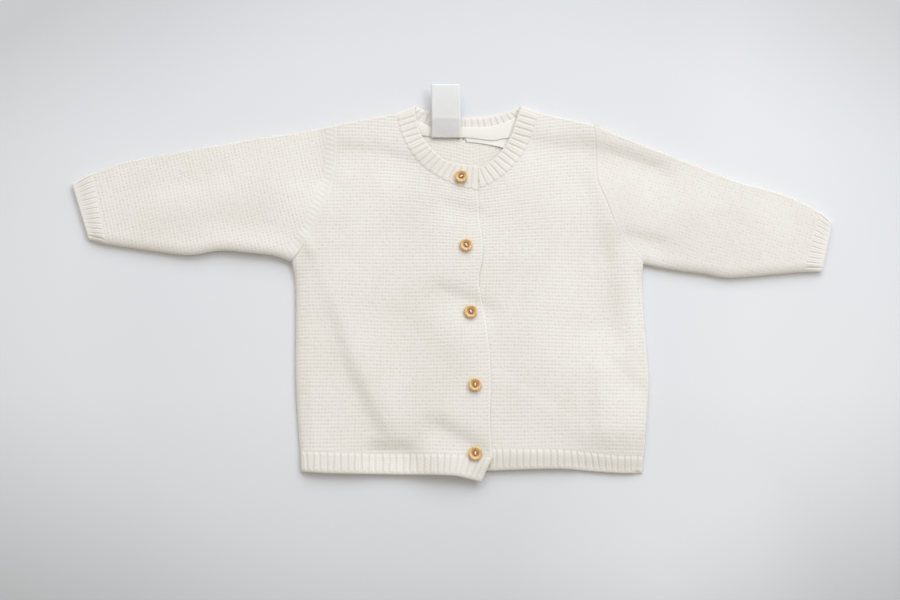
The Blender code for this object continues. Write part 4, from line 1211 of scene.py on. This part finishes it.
def knit_neckband(name):
    """One ribbed strip round the neck. On the back stretch its inside shows, so the
    ribs stand up there too."""
    right, back, left = [band_lines(rows) for rows in (BAND_RIGHT, BAND_BACK, BAND_LEFT)]
    edges = [EDGE_R / length for _, _, length in (right, back, left)]
    sections = [
        *band_stretch(right, 0.0, 1 - edges[0], "lapped"),
        *band_fold(right, 1, back, 0),
        *band_stretch(back, edges[1], 1 - edges[1], "back"),
        *band_fold(left, 0, back, 1)[::-1],
        *band_stretch(left, edges[2], 1.0, "front"),
    ]
    rings, knits = [], []
    for i, (seam, free, layer, rise, normal) in enumerate(sections):
        p = i / PER_RIB
        depth = math.hypot(*(free - seam))
        seam = seam - TUCK * (free - seam) / depth
        plan = seam + ACROSS[:, None] * (free - seam)
        from_seam, to_free = ACROSS * depth, (1 - ACROSS) * depth
        clear = smooth((to_free - 0.5) / 1.3) * (0.7 + 0.3 * smooth((from_seam - 1.6) / 3.2))
        shape = 1 - (1 - rib(p, from_seam / PLAIN_ROW)) * clear
        stitched = np.exp(-(((from_seam - TUCK - 0.3) / 0.5) ** 2))
        shape = shape - (0.3 + 0.3 * wave(p)) * stitched
        full = roll_share(np.minimum(2.2 * ACROSS, 1 - ACROSS) * depth, WALL / 2)
        relief = BAND_RELIEF * (1.5 * shape - 0.5)
        if layer == "back":
            # The outer face rests level; the inner one, which is up, carries the ribs
            reach = np.where(RIBBED, WALL / 2, -WALL / 2 - relief)
            mid = np.full(len(plan), BACK_MID)
        else:
            reach = np.where(RIBBED, WALL / 2 + relief * max(rise, 0.0), -WALL / 2)
            over = upper_mid(plan, layer == "lapped") - FOLD_Z
            mid = FOLD_Z + rise * (over if rise > 0 else np.full(len(plan), FOLD_R))
        plan = plan + (free - seam) / depth * scallop(shape, 0.3)
        rings.append(np.column_stack([plan, mid]) + normal * (full * reach)[:, None])
        # Painted shade along the free edge and on the rib that rounds each shoulder fold.
        tone = shape - 0.8 * fading(to_free - 0.3, 0.9) - 0.75 * math.sqrt(1 - rise * rise)
        knits.append(stitch_rows(p, from_seam / PLAIN_ROW, np.clip(tone, 0, 1)))
    made = loft(name, rings, RIB_KNIT, knits)
    return made, (BAND_DEPTH, (right[2] + back[2] + left[2]) * MM)


# ---- tape, labels, buttons
def soft_strip(name, rows, material, thickness, mids, columns, puff=0.0):
    """A thin closed strip between two lines, with rounded edges and a slight puff.
    mids(plan, w, t) gives its middle's height, w across the strip and t along it."""
    seam, free, length = band_lines(rows)
    face = np.concatenate([[0, 0.02, 0.08], np.linspace(0.16, 0.84, 9), [0.92, 0.98, 1.0]])
    w = np.concatenate([face, face[-2:0:-2]])
    upper = np.arange(len(w)) < len(face)
    reach = np.where(upper, thickness / 2 + puff * np.sin(np.pi * w), -thickness / 2)
    rings = []
    for t in np.arange(columns + 1) / columns:
        a, b = seam(t)[0], free(t)[0]
        plan = a + w[:, None] * (b - a)
        full = roll_share(np.minimum(w, 1 - w) * math.hypot(*(b - a)), thickness / 2)
        rings.append(np.column_stack([plan, mids(plan, w, t) + full * reach]))
    return loft(name, rings, material), length * MM


def neck_tape():
    def mids(plan, w, t):
        return TAPE_MID - (1 - w) ** 2 * (0.85 - 0.47 * smooth((plan[:, 0] + 12) / 8))

    made, length = soft_strip("tape_neck", TAPE, TAPE_CLOTH, TAPE_WALL / 2, mids, 60, puff=0.1)
    return made, (TAPE_DEPTH, length)


def size_label():
    def mids(plan, w, t):
        return SIZE_LABEL_MID - 0.4 + 0.1 * w + t * t * (1 - w) ** 2

    made, length = soft_strip("label_small", SIZE_LABEL, PALE_SATIN, 0.25, mids, 30)
    return made, (SMALL_LABEL_DEPTH, length)


def neck_label():
    """Two plies of satin, folded over at the free end, that hang past the neckband."""
    ends, heights = np.array(NECK_LABEL).T
    places = np.linspace(ends[0], ends[-1], 49)
    y = np.concatenate([places, places[::-1]])
    ply = np.repeat([0.2, -0.2], len(places))
    t = (y - ends[0]) / (ends[-1] - ends[0])
    rings = []
    for x in np.linspace(0, 1, 17):
        z = spline(ends, heights)(y)[:, 0] + 0.25 * np.sin(6.5 * t + 2.0 * x) * smooth(t / 0.4)
        kink = 0.35 * np.exp(-(((y - 141.2) / 1.4) ** 2)) * (0.4 + 0.6 * x)
        curl = 0.5 * (1 - x) ** 2 * smooth(t / 0.5)
        across = NECK_LABEL_X + NECK_LABEL_W * x + 0.35 * np.sin(4 * t)
        rings.append(np.column_stack([across, y, z + kink + curl + ply]))
    return loft("label_neck", rings, SATIN), (NECK_LABEL_W * MM, NECK_LABEL_LENGTH)


def on_front(place, x, y, z):
    """A point of a button or its thread, in metres, turned and moved to its place."""
    turn = math.radians(place.turn)
    base = float(upper_mid(np.array([[place.x, place.y]]), True)[0]) + WALL / 2 + SEAM
    base += RIB_RISE if place.under == "rib" else 0.0
    return (
        x * math.cos(turn) - y * math.sin(turn) + place.x * MM,
        x * math.sin(turn) + y * math.cos(turn) + place.y * MM,
        z + base * MM,
    )


def settled_mesh(made):
    """The mesh of an object with its modifiers and bevels worked out."""
    settled = made.evaluated_get(bpy.context.evaluated_depsgraph_get())
    return bpy.data.meshes.new_from_object(settled)


def wood_button(name, place):
    """A turned button with a raised rim, a sunk middle and two holes."""
    radius = place.diameter / 2
    sides = 56
    bm = bmesh.new()
    rings = []
    for reach, height in BUTTON_FOOT + BUTTON_RIM + BUTTON_MIDDLE:
        ring = []
        for i in range(sides if reach else 1):
            turn = 2 * math.pi * i / sides
            x, y = reach * radius * math.cos(turn), reach * radius * math.sin(turn)
            ring.append(bm.verts.new((x, y, height * BUTTON_H)))
        rings.append(ring)
    for low, high in zip(rings, rings[1:]):
        for i in range(sides):
            k = (i + 1) % sides
            corners = [low[i % len(low)], low[k % len(low)]]
            corners += [high[k % len(high)], high[i % len(high)]]
            bm.faces.new(list(dict.fromkeys(corners)))
    bmesh.ops.recalc_face_normals(bm, faces=bm.faces)
    bmesh.ops.scale(bm, vec=(MM, MM, MM), verts=bm.verts)
    mesh = bpy.data.meshes.new(name)
    bm.to_mesh(mesh)
    bm.free()
    made = linked(name, mesh)
    for x in (HOLE_X * MM, -HOLE_X * MM):
        bpy.ops.mesh.primitive_cylinder_add(
            vertices=24, radius=HOLE_R * MM, depth=4 * BUTTON_H * MM, location=(x, 0, 0)
        )
        cutter = bpy.context.object
        cut = made.modifiers.new("hole", "BOOLEAN")
        cut.operation, cut.solver, cut.object = "DIFFERENCE", "EXACT", cutter
        drilled = settled_mesh(made)
        made.modifiers.clear()
        made.data = drilled
        bpy.data.objects.remove(cutter, do_unlink=True)
    # Painted shade: the sunk middle and the underside are coloured darker.
    shade = []
    for vert in made.data.vertices:
        x, y, z = vert.co
        share = math.hypot(x, y) / (radius * MM)
        sunk = float(smooth((share - 0.36) / 0.26)) * 0.9 + 0.1
        shade.append((0, 0, sunk if z > 0.5 * BUTTON_H * MM else 0.8))
        vert.co = on_front(place, x, y, z)
    layer = made.data.attributes.new("knit", "FLOAT_VECTOR", "POINT")
    layer.data.foreach_set("vector", np.array(shade, np.float32).ravel())
    made.data.shade_smooth()
    made.data.set_sharp_from_angle(angle=math.radians(38))
    made.data.materials.clear()
    made.data.materials.append(WOOD)
    return made


def sewn_thread(name, place):
    """Three turns of white thread through the two holes."""
    curve = bpy.data.curves.new(name, "CURVE")
    curve.dimensions = "3D"
    curve.bevel_depth = 0.26 * MM
    curve.bevel_resolution = 3
    curve.use_fill_caps = True
    for k, off in enumerate((-0.36, 0.0, 0.36)):
        line = curve.splines.new("POLY")
        line.points.add(14)
        for point, angle in zip(line.points, np.linspace(0, math.pi, 15)):
            x = -HOLE_X * math.cos(angle) * (1.0 - 0.06 * k)
            y = off * (0.55 + 0.45 * math.sin(angle))
            z = 0.62 * BUTTON_H - 0.7 + 1.35 * abs(math.sin(angle)) ** 0.6 + 0.12 * (k == 1)
            point.co = (*on_front(place, x * MM, y * MM, z * MM), 1.0)
    line = linked("line", curve)
    mesh = settled_mesh(line)
    bpy.data.objects.remove(line, do_unlink=True)
    mesh.shade_smooth()
    mesh.materials.clear()
    mesh.materials.append(THREAD)
    return linked(name, mesh)


# ---- camera, floor, light
def camera():
    """The photo's view: 10 degrees off the vertical, from the hem's side."""
    lens = bpy.data.cameras.new("camera")
    lens.lens = 50.0
    lens.sensor_width = 36.0
    made = linked("camera", lens)
    made.location = (-0.0160, -0.1817, 0.9848)
    made.rotation_euler = (math.radians(10.0), 0, 0)
    bpy.context.scene.camera = made


def floor():
    """White paper, with painted shade where the photo's is toned: near the hem, past the neck,
    towards the corners and the sides, and a little painted light on one spot."""
    half = 6.0
    mesh = bpy.data.meshes.new("floor")
    corners = [(-half, -half, 0), (half, -half, 0), (half, half, 0), (-half, half, 0)]
    mesh.from_pydata(corners, [], [(0, 1, 2, 3)])
    paper, tree, shader, place = blank_material("floor", 0.8)
    x, y, _ = node(tree, "ShaderNodeSeparateXYZ", {0: place}).outputs
    cloud = noise(tree, place, 1.5, 2.0)
    pale = ramp(tree, cloud, (0.3, (0.77, 0.785, 0.805)), (0.7, (0.785, 0.80, 0.82)))
    # Painted shade: darker towards the hem's side, past the neck and towards the corners, with a
    # darker band on the left and a lighter one on the right.
    stops = [(0.26, 0.845), (0.34, 0.93), (0.42, 1.0), (0.62, 1.0), (0.72, 0.95)]
    falls = ramp(tree, maths(tree, "ADD", y, 0.5), *stops)
    wide = maths(tree, "MULTIPLY", maths(tree, "MULTIPLY", x, x), 3.4)
    pool = maths(tree, "MULTIPLY_ADD", maths(tree, "MULTIPLY", y, y), 7.77, wide)
    stops = [(0.36, 1.0), (0.48, 0.965), (0.80, (0.83, 0.825, 0.82)), (0.86, (0.80, 0.795, 0.79))]
    corners = ramp(tree, pool, *stops)
    stops = [(0.10, 1.0), (0.24, (0.965, 0.965, 0.97)), (0.38, 1.0), (0.66, 1.0)]
    stops += [(0.72, (1.025, 1.025, 1.02)), (0.84, (0.985, 0.985, 0.98))]
    sides = ramp(tree, maths(tree, "ADD", x, 0.5), *stops)
    # A painted pool of light on one spot below the hem.
    spot = {"Vector": place, "Location": (-1.2, 1.84, 0), "Scale": (8, 8, 8)}
    spot = {"Vector": node(tree, "ShaderNodeMapping", spot).outputs[0]}
    glow = node(tree, "ShaderNodeTexGradient", spot, gradient_type="SPHERICAL").outputs["Fac"]
    shade = times(tree, times(tree, falls, corners), sides)
    shade = times(tree, shade, maths(tree, "MULTIPLY_ADD", glow, 0.13, 1.0))
    plug(tree, shader, {"Base Color": times(tree, pale, shade)})
    mesh.materials.append(paper)
    linked("floor", mesh)


def area_light(name, size, power, place):
    """A lamp of cool daylight that faces the cardigan."""
    lamp = bpy.data.lights.new(name, "AREA")
    lamp.shape = "RECTANGLE"
    lamp.size, lamp.size_y = size
    lamp.energy = power
    lamp.color = (0.849, 0.914, 1.0)
    made = linked(name, lamp)
    made.location = place
    made.rotation_euler = (-Vector(place)).to_track_quat("-Z", "Y").to_euler()


def lights():
    world = bpy.data.worlds.new("world")
    world.use_nodes = True
    sky = world.node_tree.nodes["Background"]
    plug(world.node_tree, sky, {"Color": (1.0, 0.928, 0.837, 1.0), "Strength": 0.515})
    bpy.context.scene.world = world
    area_light("window", (4.4, 2.5), 123.5, (0.55, 2.85, 2.1))
    area_light("side", (0.7, 0.7), 12.0, (1.7, 0.7, 1.9))
    bpy.context.scene.view_settings.view_transform = "Standard"


# ---- the whole
def ready(made, node_name, flat=None, area=None):
    """Attaches a piece of cloth to the root and hides its CAD part. made has the piece and its
    flat size, or its area where the flat size is given. flat and area are not used."""
    piece, size = made
    if flat is None:
        flat = size
    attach(piece, "root")
    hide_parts(node_name)


def ready_panel(made, node_name, flat):
    ready(made, node_name, flat, made[1])


camera()
floor()
lights()

ready_panel(knit_back("knit_back"), "back", BACK_FLAT)
right = knit_front("knit_front_right", FRONT_RIGHT, HEM_RIGHT, True)
left = knit_front("knit_front_left", FRONT_LEFT, HEM_LEFT, False)
ready_panel(right, "front_right", RIGHT_FRONT_FLAT)
ready_panel(left, "front_left", LEFT_FRONT_FLAT)
for side, rows, hem, rings, along, fashioned in (
    ("right", FRONT_RIGHT, HEM_RIGHT, SLEEVE_RIGHT, (0.971, 0.237), RIGHT_FASHIONED),
    ("left", FRONT_LEFT, HEM_LEFT, SLEEVE_LEFT, (-0.955, 0.296), LEFT_FASHIONED),
):
    arm = dict(front_sides(rows, hem))["arm"]
    sleeve = knit_sleeve(f"knit_sleeve_{side}", rings, arm, along, fashioned)
    ready_panel(sleeve, f"sleeve_{side}", SLEEVE_FLAT)
ready(knit_hem("rib_hem_right", HEM_RIGHT, True), "front_right_hem_rib")
ready(knit_hem("rib_hem_left", HEM_LEFT, False), "front_left_hem_rib")
ready(knit_back_hem("rib_hem_back"), "back_hem_rib")
ready(knit_cuff("rib_cuff_right", CUFF_RIGHT), "cuff_right")
ready(knit_cuff("rib_cuff_left", CUFF_LEFT), "cuff_left")
ready(knit_neckband("rib_neckband"), "neckband")
ready(neck_tape(), "neck_tape")
ready(size_label(), "size_label", area=SMALL_LABEL_SHOWS)
ready(neck_label(), "neck_label")
for number, place in enumerate(BUTTONS, start=1):
    turned = wood_button(f"wood_button_{number}", place)
    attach(turned, "root")
    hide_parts(f"button_{number}")
    sewn = sewn_thread(f"sewn_thread_{number}", place)
    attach(sewn, "root")
